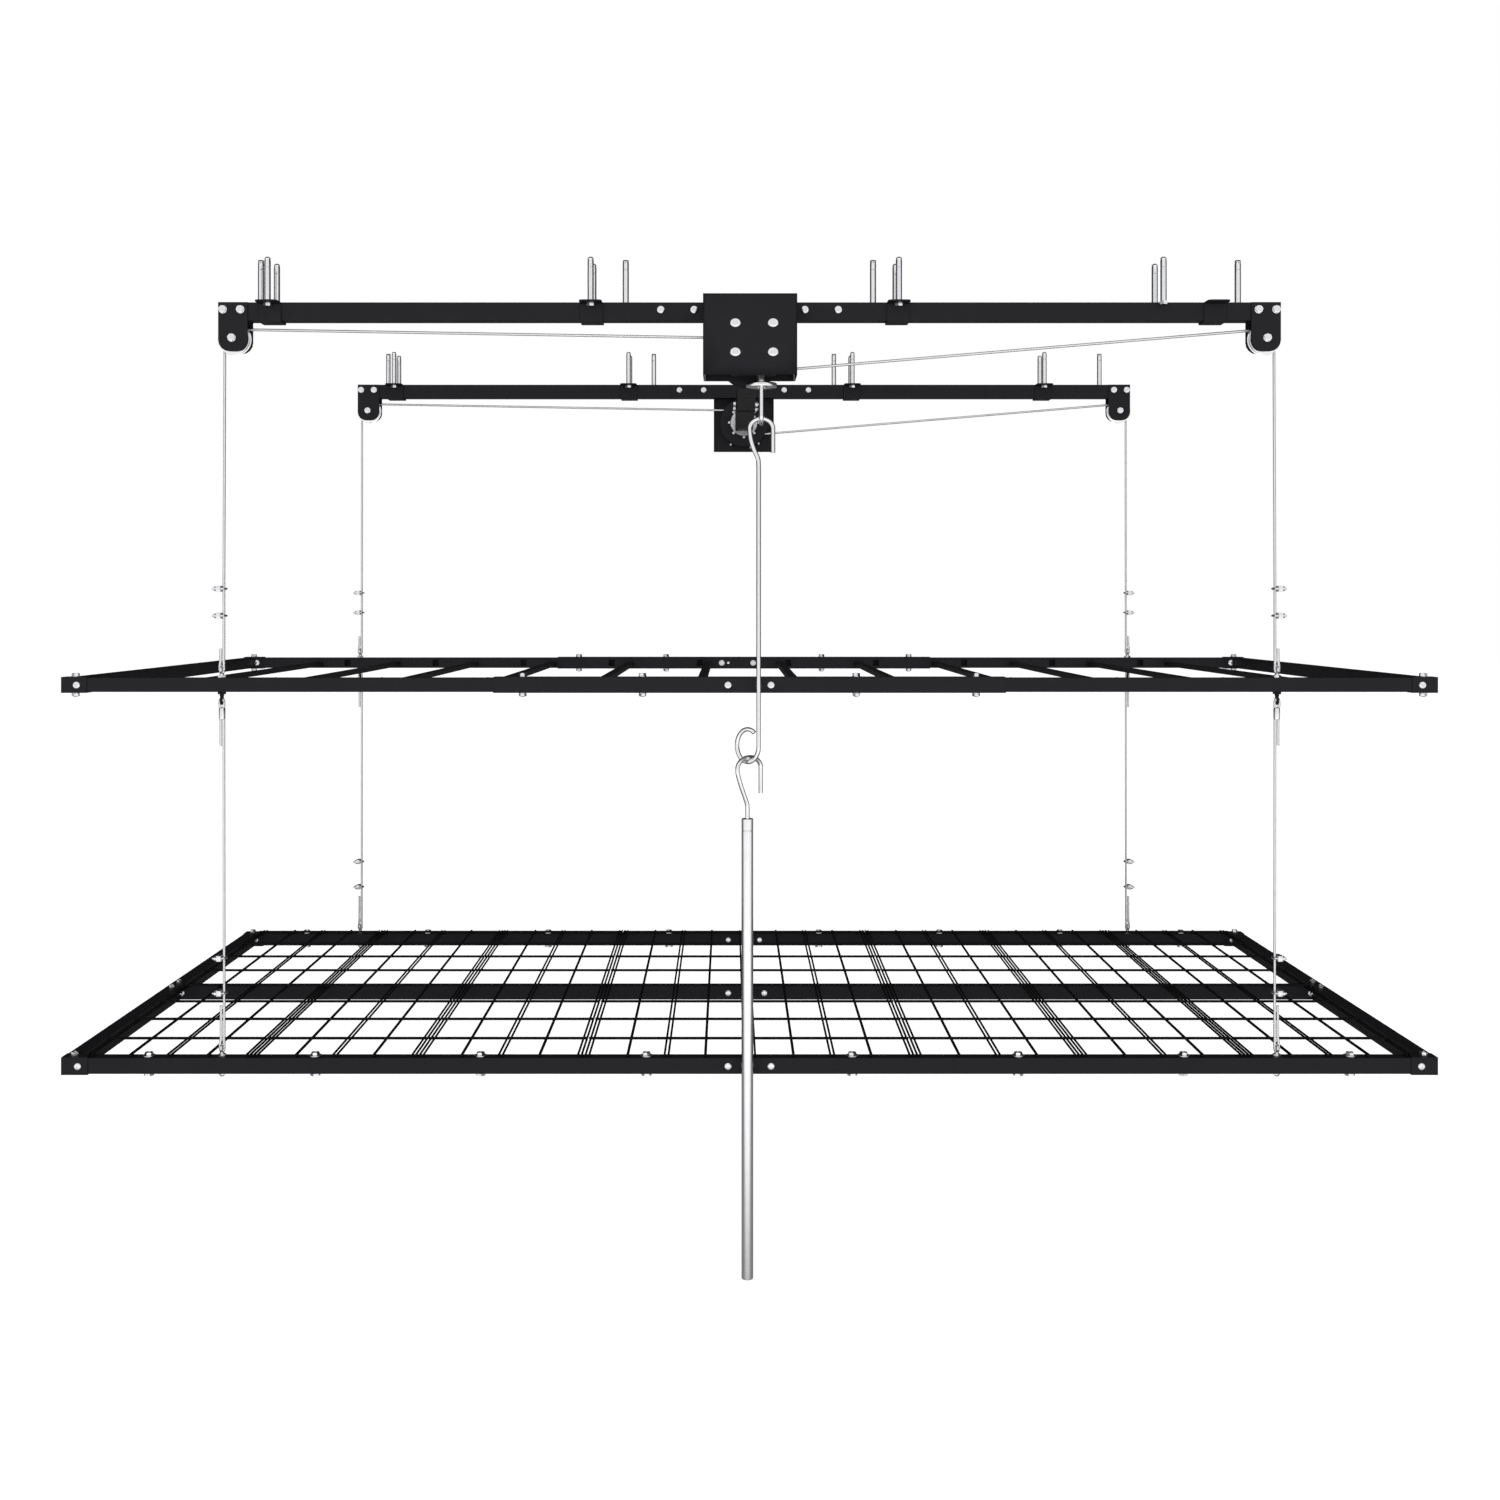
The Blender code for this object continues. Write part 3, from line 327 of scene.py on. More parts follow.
def make_metal_grain():
    """Drawn lines, soft cloudiness and small pits of plated or bare steel."""
    inputs = [("Stretch", "NodeSocketVector", (1.0, 1.0, 1.0)),
              ("Bright", "NodeSocketColor", (0.8, 0.8, 0.8, 1)),
              ("Dull", "NodeSocketColor", (0.6, 0.6, 0.6, 1)),
              ("Rough Low", "NodeSocketFloat", 0.15),
              ("Rough High", "NodeSocketFloat", 0.3)]
    outputs = [("Color", "NodeSocketColor"), ("Roughness", "NodeSocketFloat"), ("Height", "NodeSocketFloat")]
    group, entry, leave = new_group("metal_grain", inputs, outputs)
    place = add_node(group, "ShaderNodeTexCoord").outputs["Object"]
    drawn = add_node(group, "ShaderNodeVectorMath", [(0, place), (1, entry.outputs["Stretch"])],
                     operation="MULTIPLY")
    lines = add_node(group, "ShaderNodeTexNoise",
                     [("Vector", drawn.outputs[0]), ("Scale", 60.0), ("Detail", 3.0)])
    clouds = add_node(group, "ShaderNodeTexNoise", [("Vector", place), ("Scale", 90.0), ("Detail", 2.0)])
    mixed = add_node(group, "ShaderNodeMix", [("Factor", clouds.outputs[0])], data_type="RGBA")
    for socket, source in (("A", "Dull"), ("B", "Bright")):
        target = [s for s in mixed.inputs if s.name == socket and s.type == "RGBA"][0]
        group.links.new(entry.outputs[source], target)
    tint = [socket for socket in mixed.outputs if socket.type == "RGBA"][0]
    rough = add_node(group, "ShaderNodeMapRange", [("Value", lines.outputs[0]),
                                                   ("To Min", entry.outputs["Rough Low"]),
                                                   ("To Max", entry.outputs["Rough High"])])
    group.links.new(tint, leave.inputs["Color"])
    group.links.new(rough.outputs[0], leave.inputs["Roughness"])
    group.links.new(lines.outputs[0], leave.inputs["Height"])
    return group


def make_finish(name, group, values, metallic, bump, distance, edge=0.0, **shader_values):
    """A material whose colour, roughness and bump come from a grain group."""
    material = bpy.data.materials.new(name)
    material.use_nodes = True
    tree = material.node_tree
    shader = tree.nodes["Principled BSDF"]
    shader.inputs["Metallic"].default_value = metallic
    for key, value in shader_values.items():
        shader.inputs[key.replace("_", " ")].default_value = value
    grain = add_node(tree, "ShaderNodeGroup", node_tree=group)
    for key, value in values.items():
        grain.inputs[key].default_value = value
    relief = add_node(tree, "ShaderNodeBump", [("Strength", bump), ("Distance", distance),
                                               ("Height", grain.outputs["Height"])])
    if edge:
        rounded_edge = add_node(tree, "ShaderNodeBevel", [("Radius", edge * MM)], samples=4)
        tree.links.new(rounded_edge.outputs[0], relief.inputs["Normal"])
    tree.links.new(grain.outputs["Color"], shader.inputs["Base Color"])
    tree.links.new(grain.outputs["Roughness"], shader.inputs["Roughness"])
    tree.links.new(relief.outputs[0], shader.inputs["Normal"])
    return material


COAT_GRAIN = make_coat_grain()
METAL_GRAIN = make_metal_grain()
BLACK_COAT = {"Grain": 1100.0, "Dark": (0.0130, 0.0125, 0.0150, 1), "Light": (0.0170, 0.0165, 0.0200, 1),
              "Rough Low": 0.46, "Rough High": 0.58}
WIRE_COAT = {"Grain": 1600.0, "Dark": (0.004, 0.004, 0.0045, 1), "Light": (0.006, 0.006, 0.007, 1),
             "Rough Low": 0.44, "Rough High": 0.56}
PLATING = {"Stretch": (1.0, 1.0, 1.0), "Bright": (0.90, 0.90, 0.92, 1), "Dull": (0.78, 0.79, 0.82, 1),
           "Rough Low": 0.16, "Rough High": 0.30}
DRAWN = {"Stretch": (12.0, 12.0, 0.25), "Bright": (0.92, 0.92, 0.93, 1), "Dull": (0.82, 0.82, 0.84, 1),
         "Rough Low": 0.12, "Rough High": 0.24}
STRAND = {"Stretch": (4.0, 4.0, 4.0), "Bright": (0.93, 0.93, 0.94, 1), "Dull": (0.74, 0.75, 0.77, 1),
          "Rough Low": 0.26, "Rough High": 0.42}
BLACK, MESH, ZINC, WIRE = "black_powder_coat", "black_mesh_coat", "bright_zinc", "wire_rope"
FINISHES = {
    "coat": (make_finish("powder_coat", COAT_GRAIN, BLACK_COAT, 0.0, 0.10, 0.0002, 1.1,
                         Specular_IOR_Level=0.12), BLACK),
    "mesh": (make_finish("mesh_coat", COAT_GRAIN, WIRE_COAT, 0.0, 0.08, 0.0001,
                         Specular_IOR_Level=0.10), MESH),
    "plate": (make_finish("zinc_plating", METAL_GRAIN, PLATING, 1.0, 0.05, 0.0001), ZINC),
    "drawn": (make_finish("drawn_steel", METAL_GRAIN, DRAWN, 1.0, 0.04, 0.0001), ZINC),
    "strand": (make_finish("laid_strand", METAL_GRAIN, STRAND, 1.0, 0.08, 0.0001), WIRE),
}
SLOT_FINISH = {BLACK: "coat", MESH: "mesh", ZINC: "plate", WIRE: "strand"}


def finish_frame():
    """The frame's own parts take their finish from the record's slot."""
    for entry in frame["record"]["subparts"]:
        obj = frame["nodes"][entry["node"]]
        material = FINISHES[SLOT_FINISH[entry["material_slot"]]][0]
        for i in range(len(obj.material_slots)):
            obj.material_slots[i].material = material


# ---------------------------------------------------------------- fasteners


def hex_body(name, across_flats, low, high, chamfer=0.9, both=False):
    """A hexagon whose corners are turned off at its outer end, or at both."""
    corner = across_flats / math.sqrt(3)
    prism = stepped(name, [(corner, low), (corner, high)], 6)
    foot = [(corner - chamfer * 1.2, low - 0.01), (corner + 0.05, low + chamfer * 0.7)]
    if not both:
        foot = [(corner + 0.05, low - 0.01)]
    tip = [(corner + 0.05, high - chamfer * 0.7), (corner - chamfer * 1.2, high + 0.01)]
    turned = stepped(name + ".tool", foot + tip)
    cut(prism, turned, "INTERSECT")
    return prism


def stud(name, radius, low, high, pitch=1.25, sides=14):
    """A threaded end with a turned tip."""
    profile = [(radius - 0.55, low)]
    height = low
    while height + pitch < high - 1:
        profile += [(radius, height + pitch * 0.35), (radius - 0.55, height + pitch)]
        height += pitch
    profile += [(radius, high - 1.0), (radius - 1.1, high)]
    return stepped(name, profile, sides)


def button_head(name, radius, height, socket):
    """A low domed head with a hexagon socket."""
    profile = [(radius, 0), (radius, height * 0.3), (radius * 0.95, height * 0.62),
               (radius * 0.82, height * 0.88), (radius * 0.62, height)]
    head = stepped(name, profile, 28)
    corner = socket / math.sqrt(3)
    cut(head, stepped(name + ".tool", [(corner, height * 0.35), (corner, height + 1)], 6))
    return soften(head)


def hex_bolt(name, across_flats, height, washer):
    """A hexagon head with a shallow dish on its top, on its washer."""
    plate = stepped(name, [(washer - 0.4, 0), (washer, 0.3), (washer, 1.2), (washer - 0.5, 1.5)], 28)
    head = hex_body(name + ".head", across_flats, 1.5, 1.5 + height)
    top = 1.5 + height
    dish = across_flats * 0.33
    tool = stepped(name + ".tool", [(dish * 0.9, top - 0.6), (dish, top + 0.3)], 20)
    cut(head, tool)
    return soften(join(plate, head))


def hex_nut(name, across_flats, height, washer, stub, radius=4.0):
    """A nut on its washer with the bolt's end standing out of it."""
    plate = stepped(name, [(washer - 0.4, 0), (washer, 0.3), (washer, 1.2), (washer - 0.5, 1.5)], 28)
    nut = hex_body(name + ".nut", across_flats, 1.5, 1.5 + height, both=True)
    end = stud(name + ".end", radius, 1.0 + height, 1.5 + height + stub)
    return soften(join(plate, nut, end))


def make_patterns():
    """The bolts, nuts and anchors that are used over and over."""
    tools = {
        "rail_button": button_head("rail_button", 7.6, 4.2, 5.0),
        "cover_button": button_head("cover_button", 10.0, 4.6, 7.0),
        "tier_button": button_head("tier_button", 7.0, 4.0, 5.0),
        "screw": button_head("screw", 3.4, 1.8, 2.0),
        "bolt": hex_bolt("bolt", 12.0, 5.0, 7.2),
        "small_bolt": hex_bolt("small_bolt", 10.0, 4.2, 6.6),
        "deck_bolt": hex_bolt("deck_bolt", 13.0, 5.2, 11.8),
        "nut": hex_nut("nut", 12.0, 6.0, 7.2, 3.5),
        "small_nut": hex_nut("small_nut", 10.0, 5.0, 6.6, 3.0, 3.0),
        "deck_nut": hex_nut("deck_nut", 16.0, 4.4, 9.6, 1.1),
        "sleeve_nut": hex_nut("sleeve_nut", 12.0, 5.0, 7.0, 1.1),
        "eye_nut": soften(hex_body("eye_nut", 13.0, 0.0, 4.4, both=True)),
        "anchor_nut": soften(hex_body("anchor_nut", 13.0, 0, 6.5, both=True)),
        "eye_head": make_eye_bolt(1.0, "eye_head"),
    }
    sleeve = [(4.9, -4.0), (5.5, -3.4), (5.5, 58.0), (5.2, 58.4), (5.2, 59.4), (5.5, 59.8),
              (5.5, 70.5), (5.0, 72.0), (5.0, 73.0), (5.4, 73.6), (5.4, 74.6), (3.4, 77.0)]
    tools["anchor"] = soften(stepped("anchor", sleeve, 24))
    foot = hex_body("foot_nut", 10.5, 0.0, 4.6, both=True)
    tools["foot_nut"] = soften(join(foot, stud("foot_end", 4.0, 4.0, 7.6)))
    ferrule = [(4.2, -11), (5.4, -10), (5.8, -6), (5.8, 6), (5.4, 10), (4.2, 11)]
    tools["ferrule"] = soften(stepped("ferrule", ferrule, 24))
    return tools


# ---------------------------------------------------------------- ceiling frame


def make_saddle():
    """A strap bent round the rail, with a flange each side that the anchors go through."""
    saddle = block("saddle", (-20, -19.3, -35.3), (20, 19.3, -32.3))
    open_mesh(saddle)
    for y in (-16.3, 16.3):
        bpy.ops.mesh.select_all(action="SELECT")
        bpy.ops.mesh.bisect(plane_co=(0, y * MM, 0), plane_no=(0, 1, 0))
    pick(saddle, "FACE", lambda middle, face: face.normal.z > 0.9 and abs(middle.y) > 16.3)
    pull(0, 0, 29.3)
    pull(0, 0, 3)
    for side in (-1, 1):
        pick(saddle, "FACE", lambda middle, face: side * face.normal.y > 0.9 and middle.z > -3)
        pull(0, side * 29.7, 0)
    pick(saddle, "EDGE", lambda middle, edge: (abs(middle.y) > 48.9 and abs(abs(middle.x) - 20) < 0.1
                                               and abs(middle.z + 1.5) < 0.1))
    bpy.ops.mesh.bevel(offset=8 * MM, segments=5, affect="EDGES")
    close_mesh()
    add_modifier(saddle, "BEVEL", width=0.7 * MM, segments=2, limit_method="ANGLE",
                 angle_limit=math.radians(50))
    return soften(saddle)


def place_rails(tools):
    """The saddles, anchors and joint bolts of both rails."""
    saddle = make_saddle()
    for row, sign in ROWS:
        y = sign * RAIL_Y
        for number, x in enumerate(SADDLE_X, start=1):
            strap_x = SLID_SADDLE_X if (sign < 0 and number == 4) else x
            nut_z = -3.0 if strap_x == x else 0.0
            fit(f"saddle_strap_{row}_{number}", "coat", "ceiling_frame",
                [(saddle, seat((0, 0, 1), (strap_x, y, 0)))], [f"{row}_ceiling_saddle_{number}"])
            for end, offset in (("near", -ANCHOR_OFFSET), ("far", ANCHOR_OFFSET)):
                name = f"anchor_{row}_{number}_{end}"
                stands_for = ["front_anchor_pair"] if (sign < 0 and number == 4 and end == "near") else ()
                fit(name, "plate", "ceiling_frame",
                    [(tools["anchor"], seat((0, 0, 1), (x, y + offset, 0))),
                     (tools["anchor_nut"], seat((0, 0, -1), (x, y + offset, nut_z), 12))],
                    stands_for)
        shorter = Matrix.Diagonal((1, 1, 73 / 77, 1))
        for side_name, side in SIDES:
            for number, x in enumerate(RAIL_ANCHOR_X, start=1):
                fit(f"rail_anchor_{row}_{side_name}_{number}", "plate", "ceiling_frame",
                    [(tools["anchor"], seat((0, 0, 1), (side * x, y, 4.0)) @ shorter)])
            for number, x in enumerate((98.0, 157.0), start=1):
                front = (side * x, y - RAIL_HALF, RAIL_BOLT_Z)
                fit(f"rail_bolt_{row}_{side_name}_{number}", "plate", "ceiling_frame",
                    [(tools["rail_button"], seat((0, -1, 0), front, 10 * number))])
                fit(f"rail_nut_{row}_{side_name}_{number}", "plate", "ceiling_frame",
                    [(tools["nut"], seat((0, 1, 0), (side * x, y + RAIL_HALF, RAIL_BOLT_Z), 25 * number))])
    put_away([saddle])


def make_pulley():
    """A pulley with a rope groove and a hub each side."""
    profile = [(8.0, -15.6), (9.0, -15.0), (9.0, -7.5), (26.5, -7.5), (28.3, -6.9), (28.5, -5.9),
               (24.0, -4.6), (18.0, -3.7), (15.4, -2.4), (14.8, 0), (15.4, 2.4), (18.0, 3.7), (24.0, 4.6),
               (28.5, 5.9), (28.3, 6.9), (26.5, 7.5), (9.0, 7.5), (9.0, 15.0), (8.0, 15.6)]
    return soften(stepped("pulley", profile, 56), 30)


def place_pulleys(tools):
    """Each pulley with its axle and the bolts of its bracket."""
    pulley = make_pulley()
    for row, sign in ROWS:
        y = sign * RAIL_Y
        front, back = y - BRACKET_FACE, y + BRACKET_FACE
        for side_name, side in SIDES:
            name = f"{row}_{side_name}"
            fit(f"pulley_wheel_{name}", "drawn", f"pulley_{name}",
                [(pulley, seat((0, -1, 0), (side * PULLEY_X, y, PULLEY_Z)))], [f"pulley_{name}"])
            pin = stepped("pin", [(4.0, -40), (4.0, 1)], 16)
            fit(f"axle_{name}", "plate", "ceiling_frame",
                [(tools["bolt"], seat((0, -1, 0), (side * PULLEY_X, front, PULLEY_Z), 14)),
                 (pin, seat((0, -1, 0), (side * PULLEY_X, front, PULLEY_Z))),
                 (tools["nut"], seat((0, 1, 0), (side * PULLEY_X, back, PULLEY_Z), 20))],
                [f"pulley_axle_{name}"])
            put_away([pin])
            for number, inset in enumerate((8.3, 39.5), start=1):
                x = side * (940 - inset)
                fit(f"bracket_bolt_{name}_{number}", "plate", "ceiling_frame",
                    [(tools["bolt"], seat((0, -1, 0), (x, front, RAIL_BOLT_Z), 17 * number))])
                fit(f"bracket_nut_{name}_{number}", "plate", "ceiling_frame",
                    [(tools["nut"], seat((0, 1, 0), (x, back, RAIL_BOLT_Z), 31 * number))])
    put_away([pulley])


# ---------------------------------------------------------------- winch


def make_drum():
    """A rope drum with rolled rims, seen from its hub side."""
    profile = [(56.0, -14.5), (58.0, -13.9), (58.0, -12.6), (57.0, -12.0), (27.6, -12.0), (27.0, -11.4),
               (27.0, 11.4), (27.6, 12.0), (57.0, 12.0), (58.0, 12.6), (58.0, 13.9), (56.0, 14.5),
               (24.0, 14.5), (23.0, 13.5)]
    return soften(stepped("drum", profile, 72), 30)


def place_winch(tools):
    """Both drums, the bolts of the shaft, the cover with its bolts and the rope guards."""
    drum = make_drum()
    trim = stepped("drum_trim", [(30.0, 0), (32.4, 0), (32.4, 1.0), (31.4, 1.8), (29.6, 1.8)], 64)
    soften(trim)
    for row, sign in ROWS:
        face = sign * (RAIL_Y - DRUM_HALF)
        toward = (0, -sign, 0)
        fit(f"rope_drum_{row}", "coat", "winch_drive",
            [(drum, seat(toward, (0, sign * RAIL_Y, DRIVE_Z)))], [f"{row}_drum"])
        fit(f"drum_collar_{row}", "plate", "winch_drive", [(trim, seat(toward, (0, face, DRIVE_Z)))])
        places = [(35.5 * math.cos(a), 35.5 * math.sin(a)) for a in (math.radians(45 * i) for i in range(8))]
        fit(f"drum_screws_{row}", "plate", "winch_drive",
            [(tools["screw"], seat(toward, (u, face, DRIVE_Z + v), 40)) for u, v in places])
    put_away([drum, trim])
    for number, y in enumerate((179.0, 277.0), start=1):
        fit(f"shaft_bolt_{number}", "plate", "winch_drive",
            [(tools["small_bolt"], seat((-1, 0, 0), (-21.0, y, DRIVE_Z), 10))])
        fit(f"shaft_nut_{number}", "plate", "winch_drive",
            [(tools["small_nut"], seat((1, 0, 0), (21.0, y, DRIVE_Z), 20))])
    cover = cut_copy("cover_copy", "gear_cover", (0, COVER_FRONT * MM + 0.00002, 0), (0, 1, 0))
    fit("winch_cover", "coat", "ceiling_frame", [(cover, Matrix.Identity(4))], ["gear_cover"])
    put_away([cover])
    for i, x in enumerate((-25.4, 39.4)):
        for j, z in enumerate((-51.6, -101.6)):
            fit(f"cover_bolt_{i + 1}_{j + 1}", "plate", "ceiling_frame",
                [(tools["cover_button"], Matrix.Translation((x * MM, COVER_FRONT * MM, z * MM))
                  @ Matrix.Diagonal((1.0, 1.0, 0.86, 1.0)) @ seat((0, -1, 0), (0, 0, 0), 20 * i + 10 * j))])
    pin = soften(stepped("rope_guard", [(2.2, 0), (3.0, 0.8), (3.0, 33.0), (2.2, 34.0)], 16))
    for number, angle in enumerate((239, 285, 305), start=1):
        u = 62.5 * math.cos(math.radians(angle))
        v = 62.5 * math.sin(math.radians(angle))
        fit(f"rope_guard_{number}", "plate", "ceiling_frame",
            [(pin, seat((0, -1, 0), (u, 611.0, DRIVE_Z + v)))])
    put_away([pin])


def cut_copy(name, node_name, point, normal):
    """A copy of one of the frame's parts, cut off flat below a plane."""
    node = frame["nodes"][node_name]
    obj = bpy.data.objects.new(name, node.data.copy())
    bpy.context.collection.objects.link(obj)
    obj.data.transform(node.matrix_world)
    open_mesh(obj, "VERT")
    bpy.ops.mesh.select_all(action="SELECT")
    bpy.ops.mesh.remove_doubles(threshold=1e-6)
    bpy.ops.mesh.bisect(plane_co=point, plane_no=normal, use_fill=True, clear_inner=True)
    close_mesh()
    return soften(obj)


def place_input():
    """The worm, the collar and disc under the cover, and the eye for the crank hook."""
    worm = cut_copy("worm_copy", "worm_shaft", (0, 0, -0.130), (0, 0, 1))
    fit("worm", "plate", "winch_input", [(worm, Matrix.Identity(4))], ["worm_shaft"])
    profile = [(5.0, -130), (5.0, -135.5), (8.0, -135.5), (8.5, -136.2), (8.5, -148.6), (9.4, -149.2),
               (25.6, -149.2), (27.2, -150.2), (27.5, -151.6), (27.5, -154.6), (27.0, -156.2),
               (25.4, -157.0), (12, -157.0), (11.2, -158.6), (5.5, -158.9)]
    disc = soften(stepped("disc", profile, 56), 30)
    fit("input_disc", "drawn", "winch_input", [(disc, Matrix.Translation((WORM_X * MM, WORM_Y * MM, 0)))])
    bottom, bend = -219.3, 13.0
    legs = [(-bend, -152.0), (-bend, -178.0), (-bend, bottom + bend)]
    legs += arc((0, bottom + bend), bend, bend, 180, 360, 20)[1:]
    legs += [(bend, -178.0), (bend, -152.0)]
    eye = bent_rod("eye", [(WORM_X, WORM_Y + u, v) for u, v in legs], 4.0, 20)
    fit("input_eye", "drawn", "winch_input", [(eye, Matrix.Identity(4))])
    put_away([worm, disc, eye])


# ---------------------------------------------------------------- crank pole

RING_TURN = math.radians(-25)
RING_X, RING_Z = -3.4, -781.8
RING_HALF_WIDTH, RING_HALF_HEIGHT = 20.8, 28.6
RING_Y = WORM_Y - RING_HALF_WIDTH * math.sin(RING_TURN)
HOOK_TURN = math.radians(40)


def upright(x, y, turn, points):
    """Points of an upright plane, given across and up, turned about its own Z at x and y."""
    return [(x + u * math.cos(turn), y + u * math.sin(turn), z) for u, z in points]


def place_crank():
    """The hooked rod with its ring, the lower hook and the tube."""
    top, half = -211.0, 20.4
    side_z = top - 17
    hook = [(half, -270), (half, -255), (half, side_z)]
    hook += arc((0, side_z), half, 17, 0, 180, 24)[1:]
    rod_x = 15.3 - WORM_X
    neck = [(-half, side_z), (-half + 0.8, side_z - 10), (-half + 3.5, side_z - 24),
            (-half + 9.0, side_z - 40), (rod_x - 1.4, side_z - 52), (rod_x, side_z - 66),
            (rod_x, side_z - 120)]
    neck = [(p.x, p.y) for p in rounded([(u, v, 0) for u, v in neck], 5)]
    points = [(WORM_X + u, WORM_Y, z) for u, z in hook + neck[1:]]
    points += [(15.3, WORM_Y, -500), (15.3, WORM_Y, -760)]
    loop = arc((0, RING_Z), RING_HALF_WIDTH, RING_HALF_HEIGHT, 0, -307, 48)
    points += upright(RING_X, RING_Y, RING_TURN, loop)
    rod = bent_rod("rod", points, 4.0, 20)
    fit("crank_upper_rod", "drawn", "crank_rod", [(rod, Matrix.Identity(4))], ["crank_rod"])

    ring_bottom = RING_Z - RING_HALF_HEIGHT
    top = ring_bottom + 8.3
    hook_x = RING_X + 2.4
    half, height = 26.8, 19.0
    side_z = top - height
    shank = (-4.2 - hook_x) / math.cos(HOOK_TURN)
    outline = [(half, -866.5), (half, -850), (half, side_z)]
    outline += arc((0, side_z), half, height, 0, 180, 26)[1:]
    neck = [(-half, side_z), (-half + 1, side_z - 10), (-half + 8, side_z - 30), (shank - 5, side_z - 52),
            (shank - 1, side_z - 62), (shank, side_z - 72), (shank, -948)]
    outline += [(p.x, p.y) for p in rounded([(u, v, 0) for u, v in neck], 5)][1:]
    lower = bent_rod("lower", upright(hook_x, RING_Y, HOOK_TURN, outline), 4.0, 20)
    fit("crank_lower_hook", "drawn", "crank_handle", [(lower, Matrix.Identity(4))], ["crank_handle"])
    x, y = -4.2, RING_Y + shank * math.sin(HOOK_TURN)
    radius, head, foot = 10.3, -908.5, -1712.0
    profile = [(4.2, head - 4), (4.2, head - 0.4), (9.2, head), (radius, head - 1.0), (radius, head - 20),
               (radius - 0.3, head - 20.5), (radius - 0.3, head - 22), (radius, head - 22.5),
               (radius, foot + 1), (9.4, foot), (8.8, foot), (8.8, foot + 40)]
    tube = soften(stepped("tube", profile, 40), 30)
    fit("crank_tube", "drawn", "crank_handle", [(tube, Matrix.Translation((x * MM, y * MM, 0)))])
    put_away([rod, lower, tube])


# ---------------------------------------------------------------- wire rope


def laid_rope(name, points, radius=ROPE_RADIUS, lay=30.0, step=3.2):
    """Six strands twisted together along the points, as one lobed bar with flat ends."""
    points = [Vector(point) for point in points]
    path = [points[0]]
    for a, b in zip(points, points[1:]):
        count = max(1, round((b - a).length / step))
        path += [a.lerp(b, i / count) for i in range(1, count + 1)]
    lobes = (0.80, 0.98, 1.0)
    mesh = bmesh.new()
    rings = []
    side = None
    travelled = 0.0
    for i, point in enumerate(path):
        before, after = path[max(i - 1, 0)], path[min(i + 1, len(path) - 1)]
        forward = (after - before).normalized()
        if side is None:
            side = forward.orthogonal().normalized()
        side = (side - forward * side.dot(forward)).normalized()
        other = forward.cross(side)
        if i:
            travelled += (point - path[i - 1]).length
        ring = []
        for k in range(18):
            angle = 2 * math.pi * (k / 18 + travelled / lay)
            reach = radius * lobes[k % 3]
            spot = point + side * reach * math.cos(angle) + other * reach * math.sin(angle)
            ring.append(mesh.verts.new(spot * MM))
        rings.append(ring)
    for first, second in zip(rings, rings[1:]):
        for k in range(18):
            j = (k + 1) % 18
            mesh.faces.new((first[k], first[j], second[j], second[k]))
    mesh.faces.new(rings[0])
    mesh.faces.new(rings[-1])
    bmesh.ops.recalc_face_normals(mesh, faces=mesh.faces)
    data = bpy.data.meshes.new(name)
    mesh.to_mesh(data)
    mesh.free()
    data.shade_smooth()
    data.set_sharp_from_angle(angle=math.radians(60))
    obj = bpy.data.objects.new(name, data)
    bpy.context.collection.objects.link(obj)
    return obj


def show_rope(obj, body, stands_for):
    obj.data.materials.append(FINISHES["strand"][0])
    if body:
        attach(obj, body)
    if stands_for:
        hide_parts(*stands_for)


def tangent(first, first_radius, second, second_radius):
    """Where a straight line touches two circles, and the angle of its normal."""
    first, second = Vector(first), Vector(second)
    span = second - first
    lift = first_radius - second_radius
    across = Vector((-span.y, span.x))
    if across.y < 0:
        across = -across
    normal = (span * lift + across * math.sqrt(span.length_squared - lift * lift)) / span.length_squared
    return first + normal * first_radius, second + normal * second_radius, math.atan2(normal.y, normal.x)


def place_runs():
    """Each rope from its turns on the drum, along the rail and over its pulley."""
    drum_radius, pulley_radius = 30.2, 17.4
    for row, sign in ROWS:
        y = sign * RAIL_Y
        for side_name, side in SIDES:
            pulley = (side * PULLEY_X, PULLEY_Z)
            on_drum, on_pulley, angle = tangent((0.0, DRIVE_Z), -side * drum_radius, pulley, pulley_radius)
            leave = angle + (math.pi if side > 0 else 0)
            points = []
            drum_y = y + side * (ROPE_RADIUS + 0.3)
            per_turn = 40
            for i in range(int(per_turn * 1.2), 0, -1):
                turned = leave - 2 * math.pi * i / per_turn
                away = side * (2 * ROPE_RADIUS + 0.3) * i / per_turn
                u, v = drum_radius * math.cos(turned), drum_radius * math.sin(turned)
                points.append((u, drum_y + away, DRIVE_Z + v))
            points.append((on_drum.x, drum_y, on_drum.y))
            points.append((on_pulley.x, y, on_pulley.y))
            end = 0.0 if side > 0 else math.pi
            for i in range(1, 13):
                turned = angle + (end - angle) * i / 12
                u, v = pulley_radius * math.cos(turned), pulley_radius * math.sin(turned)
                points.append((pulley[0] + u, y, PULLEY_Z + v))
            rope = laid_rope(f"rope_along_{row}_{side_name}", points)
            show_rope(rope, "ceiling_frame", [f"rope_run_{row}_{side_name}"])
            drop_top = points[-1]
            drop_foot = (side * 934.4, sign * UPPER_Y, UPPER_TOP + 175)
            rope = laid_rope(f"rope_fall_{row}_{side_name}", [drop_top, drop_foot])
            show_rope(rope, None, [f"rope_drop_{row}_{side_name}"])
            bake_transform(rope)


